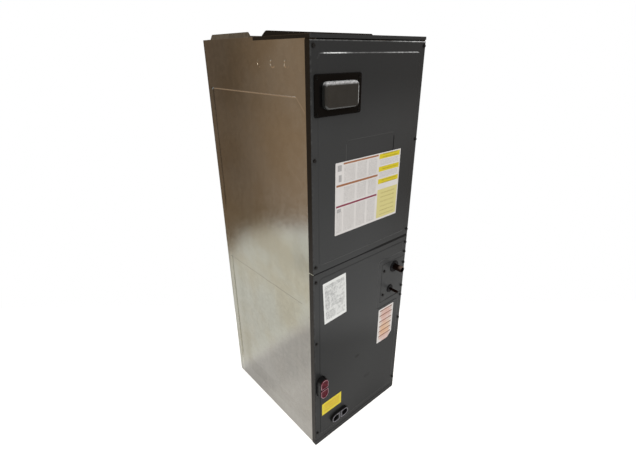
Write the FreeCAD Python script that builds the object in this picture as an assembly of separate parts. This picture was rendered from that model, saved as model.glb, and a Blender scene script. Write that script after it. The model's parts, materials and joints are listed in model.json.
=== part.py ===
import FreeCAD, Part
import math
import os
from FreeCAD import Vector

# Upright residential air handler, millimetres.
# X runs left to right seen from the front, Y runs from front to back, Z is up.
# The origin is on the floor, below the middle of the whole outline.
# Places are measured from the edge that a piece belongs to, so that they follow it.

# Fits, and how far a cut runs past a face
SHEET = 1.0
BEND = 1.0
LAP_GAP = 0.3
SEAT_GAP = 0.2
TUBE_GAP = 0.1
RUNNING_GAP = 0.05
CLEAR_GAP = 0.5
OVERCUT = 1.0

# Facets of rounded corners and of round pieces that repeat or lie inside
CORNER_FLAT_COUNT = 3
BEND_FLAT_COUNT = 2
LARGE_SIDES = 24
ROUND_SIDES = 16
SMALL_SIDES = 12

# Cabinet
CABINET_WIDTH = 444.5
CABINET_DEPTH = 533.4
SIDE_TOP = 1368.5
SEAM_Z = 734.3
SEAM_GAP = 4.5
FRONT_FLANGE = 16.0
REAR_FLANGE = 20.0
TOP_FLANGE = 25.0
FIELD_DEPTH = 3.0
FIELD_SLOPE = 2.2
FIELD_FOOT = 60.0
FIELD_CHAMFER = 33.0
FIELD_REAR_CHAMFER = 6.0
SIDE_FIELD_FRONT = 28.0
SIDE_FIELD_REAR = 22.0
LOWER_FIELD_START = 62.0
LOWER_FIELD_DROP = 130.3
UPPER_FIELD_RISE = 40.7
UPPER_FIELD_DROP = 138.5
KNOCKOUT_RADIUS = 11.0
KNOCKOUT_PRESS = 0.4
KNOCKOUT_FIRST = 94.0
KNOCKOUT_PITCH = 61.0
KNOCKOUT_COUNT = 3
KNOCKOUT_DROP = 63.5

# Base
BASE_LIP = 18.0
BASE_CORNER = 4.0
RETURN_MARGIN = 32.25
RETURN_FRONT = 60.0
RETURN_BACK = 43.4
RETURN_LIP = 10.0
BASE_RAIL_HEIGHT = 20.0

# Top
CAP_SKIRT = 9.0
CAP_DEPTH = 240.0
SUPPLY_FRONT = 200.0
SUPPLY_INSET = 22.0
SUPPLY_TAB = 14.0
SUPPLY_TAB_CHAMFER = 14.0
SUPPLY_TAB_RADIUS = 8.0
TAB_GAP = 40.0
TAB_BACK = 11.6
CAP_FLANGE_MARGIN = 2.0

# Front panels
PANEL_HEAD_GAP = 3.2
PANEL_FOOT_GAP = 2.0
PANEL_RETURN = 20.0
PANEL_HEM = 12.0
PANEL_FIELD_INSET = 21.0
PANEL_FIELD_TOP = 27.0
PANEL_FIELD_RISE = 1.5
PANEL_FIELD_SLOPE = 3.0
PANEL_FIELD_RADIUS = 14.0
LOWER_FIELD_FOOT = 18.0
BADGE_LEFT = 123.0
BADGE_WIDTH = 205.0
BADGE_DROP = 244.3
BADGE_HEIGHT = 90.0
BADGE_PRESS = 1.0
BADGE_SLOPE = 2.0
BADGE_RADIUS = 12.0
PANEL_PULL_CLEARANCE = 2.0
LINER = 9.0

# Panel screws
SCREW_INSET = 9.0
SCREW_RADIUS = 2.1
SCREW_LENGTH = 11.0
SCREW_HEX = 8.0
SCREW_HEAD = 4.5
SCREW_SIDES = 6
UPPER_SCREW_HEAD = 12.3
UPPER_SCREW_MIDDLE = 282.3
UPPER_SCREW_FOOT = 21.45
LOWER_SCREW_HEAD = 26.05
LOWER_SCREW_MIDDLE = 259.05
LOWER_SCREW_FOOT = 37.0
NOTCH_SCREW_ABOVE = 17.0
NOTCH_SCREW_BELOW = 14.0
NOTCH_SCREW_LOW = 121.0

# Breaker cover and breaker
COVER_LEFT = 8.5
COVER_WIDTH = 164.0
COVER_DROP = 73.8
COVER_HEIGHT = 101.5
COVER_THICKNESS = 3.0
COVER_RADIUS = 6.0
BOOT_INSET = 24.5
BOOT_LIFT = 18.0
BOOT_WIDTH = 118.0
BOOT_HEIGHT = 66.0
BOOT_RISE = 14.0
BOOT_WALL = 2.0
BOOT_DRAFT = 3.0
BOOT_CROWN = 4.0
BOOT_RADIUS = 14.0
BOOT_RIM = 5.0
BREAKER_SIDE_GAP = 4.0
BREAKER_END_GAP = 3.0
BREAKER_DEPTH = 58.0
BREAKER_FACE = 4.0
HANDLE_CHEEK = 4.0
HANDLE_WIDTH = 9.0
HANDLE_REACH = 21.0
HANDLE_PIVOT = 12.0
HANDLE_HUB = 4.0
HANDLE_PIN = 2.0
HANDLE_PIN_LENGTH = 3.0
HANDLE_SWING = 20.0
HANDLE_EDGE = 1.5

# Tubing plate and lines
PLATE_WIDTH = 126.5
PLATE_DROP = 81.05
PLATE_HEIGHT = 156.0
PLATE_GAP = 1.5
PLATE_SCREW_INSET = 11.6
PLATE_SCREW_STEP = 28.0
BRACKET_WIDTH = 20.0
SUCTION_INSET = 61.5
SUCTION_DROP = 26.0
SUCTION_RADIUS = 11.1
LIQUID_INSET = 77.5
LIQUID_RISE = 42.0
LIQUID_RADIUS = 4.76
TUBE_WALL = 1.1
STUB_PROJECTION = 37.0
GROMMET_RIM = 11.0
GROMMET_NECK = 6.0
GROMMET_FLANGE = 3.5

# Insulation
INSULATION = 12.0
INSULATION_FRONT_GAP = 3.0
INSULATION_DROP = 57.0

# Drain pans
PAN_SIDE_GAP = 1.95
PAN_FRONT = 45.0
PAN_BACK = 28.4
PAN_FOOT = 55.0
PAN_HEIGHT = 50.0
PAN_WALL = 3.0
PAN_CORNER = 12.0
PAN_LEDGE = 22.5
PAN_TROUGH = 60.0
PAN_RIB = 4.0
PAN_RIB_COUNT = 4
PAN_RAIL_LEG = 30.0
PAN_RAIL_DROP = 27.0
PAN_RAIL = 1.5
SIDE_PAN_TOP = 590.0
SIDE_PAN_DEPTH = 31.0
BOSS_LONG = 84.0
BOSS_SHORT = 38.0
PORT_SPACING = 46.0
PORT_RADIUS = 13.3
LEVEL_BOSS_U = 115.0
LEVEL_BOSS_LIFT = 26.0
LEVEL_BOSS_RISE = 10.0
UPRIGHT_BOSS_U = 27.0
UPRIGHT_BOSS_Z = 280.0
UPRIGHT_BOSS_RISE = 18.0
PLUG_RIM_RADIUS = 16.0
PLUG_RIM = 3.0
PLUG_DEPTH = 14.0
PLUG_WELL_RADIUS = 8.5
PLUG_WELL = 10.0
BOSS_CLEARANCE = 2.0

# A-coil
COIL_SIDE_GAP = 2.5
COIL_HEAD = 38.0
COIL_FRONT_GAP = 31.0
COIL_BACK_GAP = 37.0
TUBE_COUNT = 16
TUBE_PITCH = 31.75
ROW_PITCH = 27.5
COIL_TUBE_RADIUS = 6.35
TUBE_SIDES = 6
TUBE_STEPS = 2
RETURN_STEPS = 3
END_PLATE = 1.2
CAP_TURN = 12.0
HEADER_SETBACK = 48.0
HEADER_HEAD = 20.0
HEADER_TAIL = 32.0
RISER_BEND = 35.0
RISER_STEPS = 3
BRANCH_BEND = 9.5
CIRCUIT_COUNT = 3
CIRCUIT_STEP_COUNT = 3
METER_RADIUS = 9.0
METER_NECK = 7.2
METER_FRONT = 6.0
METER_LENGTH = 24.0
FEEDER_RADIUS = 3.2
FEEDER_PITCH = 6.7
FEEDER_BEND = 6.0

# Blower
DECK_DROP = 28.5
DECK_TURN = 20.0
BLOWER_DROP = 230.0
BLOWER_BOX_GAP = 13.0
BLOWER_BACK_GAP = 16.4
WHEEL_RADIUS = 127.0
WHEEL_WIDTH = 203.0
WHEEL_SIDE_GAP = 8.5
BLADE_INNER_RADIUS = 104.0
BLADE_COUNT = 32
BLADE_THICKNESS = 1.2
BLADE_BULGE = 5.0
BLADE_FLAT_COUNT = 2
BLADE_LEAN = 12.0
WHEEL_RIM = 3.0
HUB_RADIUS = 22.0
HUB_LENGTH = 28.0
HUB_FLANGE_RADIUS = 31.0
HUB_FLANGE = 2.0
TONGUE_GAP = 12.0
TONGUE_ANGLE = 30.0
SCROLL_FRONT = 162.0
INLET_ROLL = 14.0
HOUSING_EAR = 15.0
SHAFT_RADIUS = 6.35
MOTOR_RADIUS = 70.0
MOTOR_LENGTH = 130.0
MOTOR_SIDE_GAP = 12.95
MOTOR_EDGE = 8.0
MOTOR_BOSS_RADIUS = 20.0
MOTOR_BOSS = 6.0
MOTOR_SLOTS = 8
MOTOR_SLOT_REACH = (32.0, 56.0)
BAND_WIDTH = 30.0
BAND_THICKNESS = 2.0
ARM_COUNT = 3
ARM_WIDTH = 25.0
ARM_FOOT = 34.0
CAPACITOR_RADIUS = 23.0
CAPACITOR_LENGTH = 80.0
CAPACITOR_INSET = 70.0
CAPACITOR_RISE = 85.0
TERMINAL_WIDTH = 6.3
TERMINAL_HEIGHT = 12.0
TERMINAL_OFFSET = 9.0
STRAP_WIDTH = 18.0
STRAP_REACH = 46.0

# Controls
BOX_LEFT_MARGIN = 18.0
BOX_RIGHT_MARGIN = 13.0
BOX_HEIGHT = 215.0
BOX_BACK = 92.0
BOX_WALL = 60.0
BOX_TURN = 12.0
BOARD_WIDTH = 105.0
BOARD_HEIGHT = 90.0
BOARD_GAP = 30.0
BOARD_LIFT = 5.0
BOARD_STANDOFF = 10.0
BOARD_SHEET = 1.6
RELAY_COUNT = 3
RELAY_SIZE = (22.0, 16.0, 28.0)
RELAY_PITCH = 31.0
RELAY_MARGIN = 10.0
STRIP_SIZE = (10.0, 12.0)
TRANSFORMER_OFFSET = 8.0
TRANSFORMER_WIDTH = 60.0
TRANSFORMER_HEIGHT = 46.0
TRANSFORMER_DEPTH = 40.0
TRANSFORMER_FOOT = 4.0
CORE_EDGE = 12.0

# Seam rail
RAIL_SETBACK = 15.0
RAIL_HEIGHT = 50.0
RAIL_LEG = 30.0

# Places worked out from the sizes above
HALF_WIDTH = CABINET_WIDTH / 2
FRONT_Y = (STUB_PROJECTION - CABINET_DEPTH) / 2
BACK_Y = FRONT_Y + CABINET_DEPTH
SIDE_OUT = HALF_WIDTH - SHEET - LAP_GAP
SIDE_IN = SIDE_OUT - SHEET
INSIDE_HALF = SIDE_IN - FIELD_DEPTH - INSULATION
FLANGE_Y = FRONT_Y + SHEET + SEAT_GAP
FLANGE_BACK_Y = FLANGE_Y + SHEET
BACK_IN_Y = BACK_Y - SHEET
CAP_TOP = SIDE_TOP + SHEET
FLANGE_EDGE = SIDE_OUT - FRONT_FLANGE
PANEL_TOP = CAP_TOP - CAP_SKIRT - PANEL_HEAD_GAP
UPPER_FOOT = SEAM_Z + SEAM_GAP / 2
LOWER_TOP = SEAM_Z - SEAM_GAP / 2
LOWER_FOOT = BASE_RAIL_HEIGHT + PANEL_FOOT_GAP
FIELD_FACE_Y = FRONT_Y - PANEL_FIELD_RISE
LOWER_FIELD_Z = (LOWER_FIELD_START, SEAM_Z - LOWER_FIELD_DROP)
UPPER_FIELD_Z = (SEAM_Z + UPPER_FIELD_RISE, SIDE_TOP - UPPER_FIELD_DROP)
DECK_Z = SIDE_TOP - DECK_DROP
INSULATION_Z = (PAN_FOOT + CLEAR_GAP, DECK_Z - DECK_TURN - INSULATION_DROP)
COVER_FOOT = PANEL_TOP - COVER_DROP - COVER_HEIGHT
BOOT_LEFT = COVER_LEFT + BOOT_INSET
BOOT_FOOT = COVER_FOOT + BOOT_LIFT
BREAKER_WIDTH = BOOT_WIDTH - 2 * (BOOT_RIM + BREAKER_SIDE_GAP)
BREAKER_HEIGHT = BOOT_HEIGHT - 2 * (BOOT_RIM + BREAKER_END_GAP)
BREAKER_U = BOOT_LEFT + BOOT_WIDTH / 2
HANDLE_HEIGHT = BREAKER_HEIGHT - 2 * (HANDLE_PIN_LENGTH + HANDLE_CHEEK)
PLATE_LEFT = CABINET_WIDTH - PLATE_WIDTH
PLATE_TOP = LOWER_TOP - PLATE_DROP
PLATE_FOOT = PLATE_TOP - PLATE_HEIGHT
SUCTION_X = HALF_WIDTH - SUCTION_INSET
SUCTION_Z = PLATE_TOP - SUCTION_DROP
LIQUID_X = HALF_WIDTH - LIQUID_INSET
LIQUID_Z = PLATE_FOOT + LIQUID_RISE
PAN_HALF = INSIDE_HALF - PAN_SIDE_GAP
PAN_REAR = CABINET_DEPTH - PAN_BACK
LEVEL_BOSS_Z = PAN_FOOT + LEVEL_BOSS_LIFT
COIL_FRONT = PAN_FRONT + COIL_FRONT_GAP
COIL_REAR = PAN_REAR - COIL_BACK_GAP
COIL_FOOT = PAN_HALF - SIDE_PAN_DEPTH - COIL_SIDE_GAP - ROW_PITCH
PAN_OPENING_HALF = COIL_FOOT - ROW_PITCH - PAN_LEDGE
PAN_OPENING_FRONT = PAN_FRONT + PAN_TROUGH
PAN_OPENING_REAR = PAN_REAR - PAN_TROUGH
BLOWER_SETBACK = BOX_BACK + BLOWER_BOX_GAP + SHEET + SCROLL_FRONT
BLOWER_Z = DECK_Z - BLOWER_DROP
SCROLL_REAR = (CABINET_DEPTH - FIELD_DEPTH - INSULATION - BLOWER_BACK_GAP - BLOWER_SETBACK
               - 2 * SHEET)
HOUSING_WIDTH = WHEEL_WIDTH + 2 * (INLET_ROLL + SHEET + WHEEL_SIDE_GAP)
MOTOR_START = INSIDE_HALF - MOTOR_SIDE_GAP - 2 * MOTOR_BOSS - MOTOR_LENGTH
ARM_REACH = BLADE_INNER_RADIUS + INLET_ROLL + ARM_FOOT
CAPACITOR_Z = BLOWER_Z + CAPACITOR_RISE
BOX_FOOT = DECK_Z - BOX_HEIGHT
BOX_LEFT = BREAKER_U - BREAKER_WIDTH / 2 - BOX_LEFT_MARGIN
BOARD_LEFT = BREAKER_U + BREAKER_WIDTH / 2 + BOARD_GAP
BOX_RIGHT = BOARD_LEFT + BOARD_WIDTH + BOX_RIGHT_MARGIN
TRANSFORMER_LEFT = BOARD_LEFT + TRANSFORMER_OFFSET
TRANSFORMER_Z = BOX_FOOT + SHEET + CORE_EDGE
BOARD_FOOT = TRANSFORMER_Z + TRANSFORMER_HEIGHT + CORE_EDGE / 2 + BOARD_LIFT
X, Y, Z = Vector(1, 0, 0), Vector(0, 1, 0), Vector(0, 0, 1)


def across(u):
    """X of a point u to the right of the panels' left edge."""
    return u - HALF_WIDTH


def behind(v):
    """Y of a point v behind the panels' front face."""
    return FRONT_Y + v


def on_plan(z):
    return lambda a, b: Vector(a, b, z)


def on_front(y):
    return lambda a, b: Vector(a, y, b)


def on_side(x):
    return lambda a, b: Vector(x, a, b)


def along_x(centre):
    return lambda along, a, b: centre + Vector(along, a, b)


def along_y(x, z):
    return lambda along, a, b: Vector(x + a, along, z + b)


def box(x, y, z):
    """A block between three pairs of limits."""
    return Part.makeBox(x[1] - x[0], y[1] - y[0], z[1] - z[0], Vector(x[0], y[0], z[0]))


def rod(start, end, radius):
    """A round bar from one point to another."""
    axis = end - start
    return Part.makeCylinder(radius, axis.Length, start, axis)


def rectangle(a, b, radius=0.0):
    """Counter-clockwise corners of a rectangle, as (a, b, corner radius)."""
    return [(a[0], b[0], radius), (a[1], b[0], radius), (a[1], b[1], radius), (a[0], b[1], radius)]


def chamfered(a, b, cut, far_cut):
    """Counter-clockwise corners of a rectangle with its corners cut off, by another size at its far end."""
    return [(a[0] + cut, b[0], 0), (a[1] - far_cut, b[0], 0), (a[1], b[0] + far_cut, 0),
            (a[1], b[1] - far_cut, 0), (a[1] - far_cut, b[1], 0), (a[0] + cut, b[1], 0),
            (a[0], b[1] - cut, 0), (a[0], b[0] + cut, 0)]


def tab_corners(low, high):
    """Corners of a standing tab between two ends, with sloping ends and rounded upper corners."""
    top = CAP_TOP + SUPPLY_TAB
    return [(low, CAP_TOP, 0), (high, CAP_TOP, 0), (high - SUPPLY_TAB_CHAMFER, top, SUPPLY_TAB_RADIUS),
            (low + SUPPLY_TAB_CHAMFER, top, SUPPLY_TAB_RADIUS)]


def outline_points(corners, place, flats=CORNER_FLAT_COUNT):
    """Points of a closed outline through (a, b, radius) corners, rounded by flats and laid into space."""
    points = []
    count = len(corners)
    for i, (a, b, radius) in enumerate(corners):
        corner = Vector(a, b, 0)
        if not radius:
            points.append(corner)
            continue
        back = (Vector(*corners[i - 1][:2], 0) - corner).normalize()
        on = (Vector(*corners[(i + 1) % count][:2], 0) - corner).normalize()
        half = back.getAngle(on) / 2
        centre = corner + (back + on).normalize() * (radius / math.sin(half))
        arm = corner + back * (radius / math.tan(half)) - centre
        sweep = math.copysign(180 - 2 * math.degrees(half), on.cross(back).z)
        for k in range(flats + 1):
            points.append(centre + FreeCAD.Rotation(Z, sweep * k / flats).multVec(arm))
    return [place(point.x, point.y) for point in points]


def outline(corners, place, flats=CORNER_FLAT_COUNT):
    """A closed wire through rounded corners."""
    points = outline_points(corners, place, flats)
    return Part.makePolygon(points + points[:1])


def skinned(sections, closed=False):
    """A solid of flat facets through rings of points, with capped ends or closed into a loop."""
    count = len(sections[0])
    pairs = list(zip(sections, sections[1:]))
    rings = [] if closed else [sections[0], sections[-1]]
    if closed:
        pairs.append((sections[-1], sections[0]))
    for near, far in pairs:
        for k in range(count):
            after = (k + 1) % count
            rings.append([near[k], near[after], far[after], far[k]])
    shell = Part.Shell([Part.Face(Part.makePolygon(ring + ring[:1])) for ring in rings])
    shell.sewShape()
    solid = Part.Solid(shell)
    if solid.Volume < 0:
        solid.reverse()
    return solid


def around(radius, sides):
    """Corner radius of a many-sided hole whose flats touch a circle."""
    return radius / math.cos(math.pi / sides)


def turned(steps, sides, place, closed=False):
    """A many-sided turned piece through (along, radius) steps."""
    turns = [2 * math.pi * k / sides for k in range(sides)]
    sections = [[place(along, radius * math.cos(t), radius * math.sin(t)) for t in turns]
                for along, radius in steps]
    return skinned(sections, closed)


def prism(corners, place, run, flats=CORNER_FLAT_COUNT):
    """An outline pushed along a vector."""
    return Part.Face(outline(corners, place, flats)).extrude(run)


def left_of(direction):
    return Vector(-direction.y, direction.x, 0)


def drawn_in(corners, distance):
    """The corners of a counter-clockwise outline moved inwards by a distance."""
    moved = []
    count = len(corners)
    for i, (a, b, radius) in enumerate(corners):
        here = Vector(a, b, 0)
        before = (here - Vector(*corners[i - 1][:2], 0)).normalize()
        after = (Vector(*corners[(i + 1) % count][:2], 0) - here).normalize()
        first, second = left_of(before), left_of(after)
        mitre = (first + second) * (distance / (1 + first.dot(second)))
        convex = before.cross(after).z > 0
        new_radius = radius and (radius - distance if convex else radius + distance)
        moved.append((here.x + mitre.x, here.y + mitre.y, new_radius))
    return moved


def tapered(corners, slope, place, run, foot=0):
    """A block that narrows by slope all round as it goes along run, and by a foot more at its lower edge."""
    narrow = drawn_in(corners, slope)
    heights = [b for a, b, radius in narrow]
    middle = (min(heights) + max(heights)) / 2
    narrow = [(a, b + foot if b < middle else b, radius) for a, b, radius in narrow]
    far = [point + run for point in outline_points(narrow, place)]
    return skinned([outline_points(corners, place), far])


def pressed(sheet, corners, place, direction, depth, slope, foot=0):
    """Press an outlined field of a sheet by depth, from the face at place, along direction."""
    pocket = tapered(corners, slope, place, direction * depth, foot)
    boss = pocket.translated(direction * SHEET)
    return sheet.fuse(boss).cut(pocket)


def bent_sheet(path, place, run, thickness=SHEET):
    """A folded sheet: a path of (a, b) points with the thickness on its left, pushed along run."""
    near, far = [], []
    last = len(path) - 1
    for i, point in enumerate(path):
        here = Vector(*point, 0)
        before = (here - Vector(*path[i - 1], 0)).normalize() if i else None
        after = (Vector(*path[i + 1], 0) - here).normalize() if i < last else None
        first = left_of(before or after)
        second = left_of(after or before)
        shift = (first + second) * (thickness / (1 + first.dot(second)))
        near_radius = far_radius = 0.0
        if before and after:
            turns_left = before.cross(after).z > 0
            near_radius = BEND + thickness if turns_left else BEND
            far_radius = BEND if turns_left else BEND + thickness
        near.append((here.x, here.y, near_radius))
        far.append((here.x + shift.x, here.y + shift.y, far_radius))
    return prism(near + far[::-1], place, run, BEND_FLAT_COUNT)


def bend_stations(points, bend, steps):
    """Places and directions along straight runs joined by arcs of one bend radius, all in one plane."""
    stations = [(points[0], (points[1] - points[0]).normalize())]
    ends = [(points[-1], (points[-1] - points[-2]).normalize())]
    for i in range(1, len(points) - 1):
        corner = points[i]
        back = (points[i - 1] - corner).normalize()
        on = (points[i + 1] - corner).normalize()
        half = back.getAngle(on) / 2
        centre = corner + (back + on).normalize() * (bend / math.sin(half))
        radial = corner + back * (bend / math.tan(half)) - centre
        axis = radial.cross(back * -1).normalize()
        for k in range(steps + 1):
            turn = FreeCAD.Rotation(axis, (180 - 2 * math.degrees(half)) * k / steps)
            place = centre + turn.multVec(radial)
            if place.distanceToPoint(stations[-1][0]) > 1e-6:
                stations.append((place, turn.multVec(back * -1)))
    if points[-1].distanceToPoint(stations[-1][0]) < 1e-6:
        stations.pop()
    return stations + ends


def plain_tube(points, bend, radius, sides=TUBE_SIDES, steps=TUBE_STEPS):
    """A closed tube along a bent path in one plane, with a many-sided section."""
    normal = (points[1] - points[0]).cross(points[2] - points[1]).normalize()
    return tube_through(bend_stations(points, bend, steps), normal, radius, sides)


def tube_through(stations, normal, radius, sides):
    """A tube through places and directions that lie in the plane of a normal."""
    turns = [2 * math.pi * k / sides for k in range(sides)]
    sections = []
    for place, direction in stations:
        side = direction.cross(normal)
        sections.append([place + (normal * math.cos(t) + side * math.sin(t)) * radius for t in turns])
    return skinned(sections)


def joined(shapes):
    """Several overlapping solids as one, with the seams inside faces removed."""
    return shapes[0].multiFuse(shapes[1:]).removeSplitter()


def mirrored(shape):
    """The same shape on the other side of the middle plane."""
    return shape.mirror(Vector(0, 0, 0), X)


def polygon(a, b, corner_radius, sides=6):
    """Corners of a regular polygon about a point."""
    turns = [2 * math.pi * i / sides for i in range(sides)]
    return [(a + corner_radius * math.cos(t), b + corner_radius * math.sin(t), 0) for t in turns]


def hex_screw(x, z, face_y):
    """A hex-head screw driven backwards into a face."""
    head = prism(polygon(x, z, SCREW_HEX / math.sqrt(3)), on_front(face_y), Y * -SCREW_HEAD)
    shank = prism(polygon(x, z, SCREW_RADIUS, SCREW_SIDES), on_front(face_y), Y * SCREW_LENGTH)
    return joined([head, shank])


def screw_holes(places):
    """Clearance holes for panel screws through the panels and the flanges behind."""
    radius = SCREW_RADIUS + LAP_GAP
    depth = Y * (SCREW_LENGTH + OVERCUT)
    start = on_front(FRONT_Y - OVERCUT)
    return Part.makeCompound([prism(polygon(x, z, radius, SCREW_SIDES), start, depth) for x, z in places])


SCREW_X = HALF_WIDTH - SCREW_INSET
UPPER_SCREWS = (UPPER_FOOT + UPPER_SCREW_FOOT, PANEL_TOP - UPPER_SCREW_MIDDLE, PANEL_TOP - UPPER_SCREW_HEAD)
LOWER_SCREWS_LEFT = (LOWER_FOOT + LOWER_SCREW_FOOT, LOWER_TOP - LOWER_SCREW_MIDDLE,
                     LOWER_TOP - LOWER_SCREW_HEAD)
LOWER_SCREWS_RIGHT = (LOWER_FOOT + LOWER_SCREW_FOOT, PLATE_FOOT - NOTCH_SCREW_LOW,
                      PLATE_FOOT - NOTCH_SCREW_BELOW, PLATE_TOP + NOTCH_SCREW_ABOVE,
                      LOWER_TOP - LOWER_SCREW_HEAD)
UPPER_SCREW_PLACES = [(side * SCREW_X, z) for side in (-1, 1) for z in UPPER_SCREWS]
LOWER_SCREW_PLACES = [(-SCREW_X, z) for z in LOWER_SCREWS_LEFT] + [(SCREW_X, z) for z in LOWER_SCREWS_RIGHT]
PLATE_SCREW_PLACES = [(x, z) for x in (across(PLATE_LEFT + PLATE_SCREW_INSET), SCREW_X)
                      for z in (PLATE_FOOT + PLATE_SCREW_STEP, PLATE_TOP - PLATE_SCREW_STEP)]


# Cabinet

def side_panel():
    """Left side: a folded channel with pressed fields, knockouts and an inward flange at the top."""
    path = [(-SIDE_OUT + REAR_FLANGE, BACK_IN_Y), (-SIDE_OUT, BACK_IN_Y), (-SIDE_OUT, FLANGE_Y),
            (-FLANGE_EDGE, FLANGE_Y)]
    panel = bent_sheet(path, on_plan(0), Z * SIDE_TOP)
    ledge = box((-SIDE_OUT, -SIDE_OUT + TOP_FLANGE), (FLANGE_Y + REAR_FLANGE, BACK_IN_Y - REAR_FLANGE),
                (SIDE_TOP - SHEET, SIDE_TOP))
    panel = joined([panel, ledge])
    relief = BEND - LAP_GAP
    corner = [(-SIDE_OUT, SIDE_TOP - relief, 0), (-SIDE_OUT + relief, SIDE_TOP, 0), (-SIDE_OUT, SIDE_TOP, 0)]
    panel = panel.cut(prism(corner, on_front(FRONT_Y), Y * CABINET_DEPTH))
    depth = (behind(SIDE_FIELD_FRONT), BACK_Y - SIDE_FIELD_REAR)
    for low, high in (LOWER_FIELD_Z, UPPER_FIELD_Z):
        field = chamfered(depth, (low, high), FIELD_CHAMFER, FIELD_REAR_CHAMFER)
        panel = pressed(panel, field, on_side(-SIDE_OUT), X, FIELD_DEPTH, FIELD_SLOPE, FIELD_FOOT)
    for i in range(KNOCKOUT_COUNT):
        y = behind(KNOCKOUT_FIRST + KNOCKOUT_PITCH * i)
        rim = polygon(y, SIDE_TOP - KNOCKOUT_DROP, KNOCKOUT_RADIUS, SMALL_SIDES)
        slug = prism(rim, on_side(-SIDE_OUT), X * KNOCKOUT_PRESS)
        panel = panel.fuse(slug.translated(X * SHEET)).cut(slug)
    return panel


def left_side_panel():
    reach = BOSS_LONG / 2 + BOSS_CLEARANCE
    boss = box((-HALF_WIDTH, 0), (FLANGE_Y - OVERCUT, FLANGE_BACK_Y + OVERCUT),
               (UPRIGHT_BOSS_Z - reach, UPRIGHT_BOSS_Z + reach))
    notch = boss.common(box((across(UPRIGHT_BOSS_U) - BOSS_SHORT / 2 - BOSS_CLEARANCE, 0),
                            (FRONT_Y, BACK_Y), (0, SIDE_TOP)))
    holes = screw_holes([p for p in UPPER_SCREW_PLACES + LOWER_SCREW_PLACES if p[0] < 0])
    return side_panel().cut(notch).cut(holes)


def right_side_panel():
    places = UPPER_SCREW_PLACES + LOWER_SCREW_PLACES + PLATE_SCREW_PLACES
    holes = screw_holes([p for p in places if p[0] > FLANGE_EDGE])
    return mirrored(side_panel()).cut(holes)


def back_panel():
    """Back: a flat sheet with pressed fields and an inward flange under the supply opening's back edge."""
    path = [(BACK_Y, 0), (BACK_Y, SIDE_TOP), (BACK_Y - TOP_FLANGE, SIDE_TOP)]
    panel = bent_sheet(path, on_side(-SIDE_OUT), X * (2 * SIDE_OUT))
    for sign in (-1, 1):
        inner, outer = SIDE_OUT - TOP_FLANGE - CLEAR_GAP, SIDE_OUT + OVERCUT
        span = (min(sign * inner, sign * outer), max(sign * inner, sign * outer))
        panel = panel.cut(box(span, (BACK_Y - TOP_FLANGE - OVERCUT, BACK_IN_Y),
                              (SIDE_TOP - TOP_FLANGE, SIDE_TOP + OVERCUT)))
    half = SIDE_OUT - REAR_FLANGE - FIELD_SLOPE
    for low, high in (LOWER_FIELD_Z, UPPER_FIELD_Z):
        field = chamfered((-half, half), (low, high), FIELD_CHAMFER, FIELD_CHAMFER)
        panel = pressed(panel, field[::-1], on_front(BACK_Y), -Y, FIELD_DEPTH, -FIELD_SLOPE, FIELD_FOOT)
    return panel


def base_pan():
    """Base: a tray with its rim turned up inside the cabinet and a lipped return-air opening."""
    depth = (FLANGE_BACK_Y, BACK_IN_Y - SHEET)
    tray = prism(rectangle((-SIDE_IN, SIDE_IN), depth, BASE_CORNER), on_plan(0), Z * BASE_LIP)
    inner = (-SIDE_IN + SHEET, SIDE_IN - SHEET)
    hollow = prism(rectangle(inner, (depth[0] + SHEET, depth[1] - SHEET), BASE_CORNER - SHEET),
                   on_plan(SHEET), Z * BASE_LIP)
    half = HALF_WIDTH - RETURN_MARGIN
    opening = rectangle((-half, half), (behind(RETURN_FRONT), BACK_Y - RETURN_BACK), BASE_CORNER)
    lip = prism(drawn_in(opening, -SHEET), on_plan(0), Z * RETURN_LIP)
    hole = prism(opening, on_plan(-OVERCUT), Z * (RETURN_LIP + 2 * OVERCUT))
    return joined([tray.cut(hollow), lip]).cut(hole)


def base_rail():
    """Painted rail along the foot of the front, its ends wrapped round the sides."""
    path = [(-HALF_WIDTH, behind(PANEL_RETURN)), (-HALF_WIDTH, FRONT_Y), (HALF_WIDTH, FRONT_Y),
            (HALF_WIDTH, behind(PANEL_RETURN))]
    rail = bent_sheet(path, on_plan(0), Z * BASE_RAIL_HEIGHT)
    seat = box((-FLANGE_EDGE + CLEAR_GAP, FLANGE_EDGE - CLEAR_GAP), (FRONT_Y + SHEET, FLANGE_BACK_Y),
               (0, BASE_RAIL_HEIGHT))
    return joined([rail, seat])


def top_cap():
    """Painted cap over the front of the top, with a skirt and the supply opening's front flange."""
    skirt_path = [(-HALF_WIDTH, CAP_TOP - CAP_SKIRT), (-HALF_WIDTH, CAP_TOP), (HALF_WIDTH, CAP_TOP),
                  (HALF_WIDTH, CAP_TOP - CAP_SKIRT)]
    cap = bent_sheet(skirt_path[::-1], on_front(FRONT_Y), Y * CAP_DEPTH)
    face = box((-HALF_WIDTH + SHEET, HALF_WIDTH - SHEET), (FRONT_Y, FRONT_Y + SHEET),
               (CAP_TOP - CAP_SKIRT, CAP_TOP - SHEET))
    half = HALF_WIDTH - SUPPLY_INSET
    mouth = box((-half, half), (behind(SUPPLY_FRONT), BACK_Y), (SIDE_TOP - OVERCUT, CAP_TOP + OVERCUT))
    reach = HALF_WIDTH - CAP_FLANGE_MARGIN
    flange = prism(tab_corners(-reach, reach), on_front(behind(SUPPLY_FRONT) - SHEET), Y * SHEET)
    return joined([cap.cut(mouth), face, flange])


def supply_flange(path, place, run, tab_span, tab_place, tab_run):
    """One angle of the supply opening: a foot on the cabinet and a standing tab with cut ends."""
    foot = bent_sheet(path, place, run)
    tab = prism(tab_corners(*tab_span), tab_place, tab_run)
    return foot.common(tab.fuse(foot.common(box((-HALF_WIDTH, HALF_WIDTH), (FRONT_Y, BACK_Y),
                                                (SIDE_TOP, CAP_TOP)))))


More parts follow.
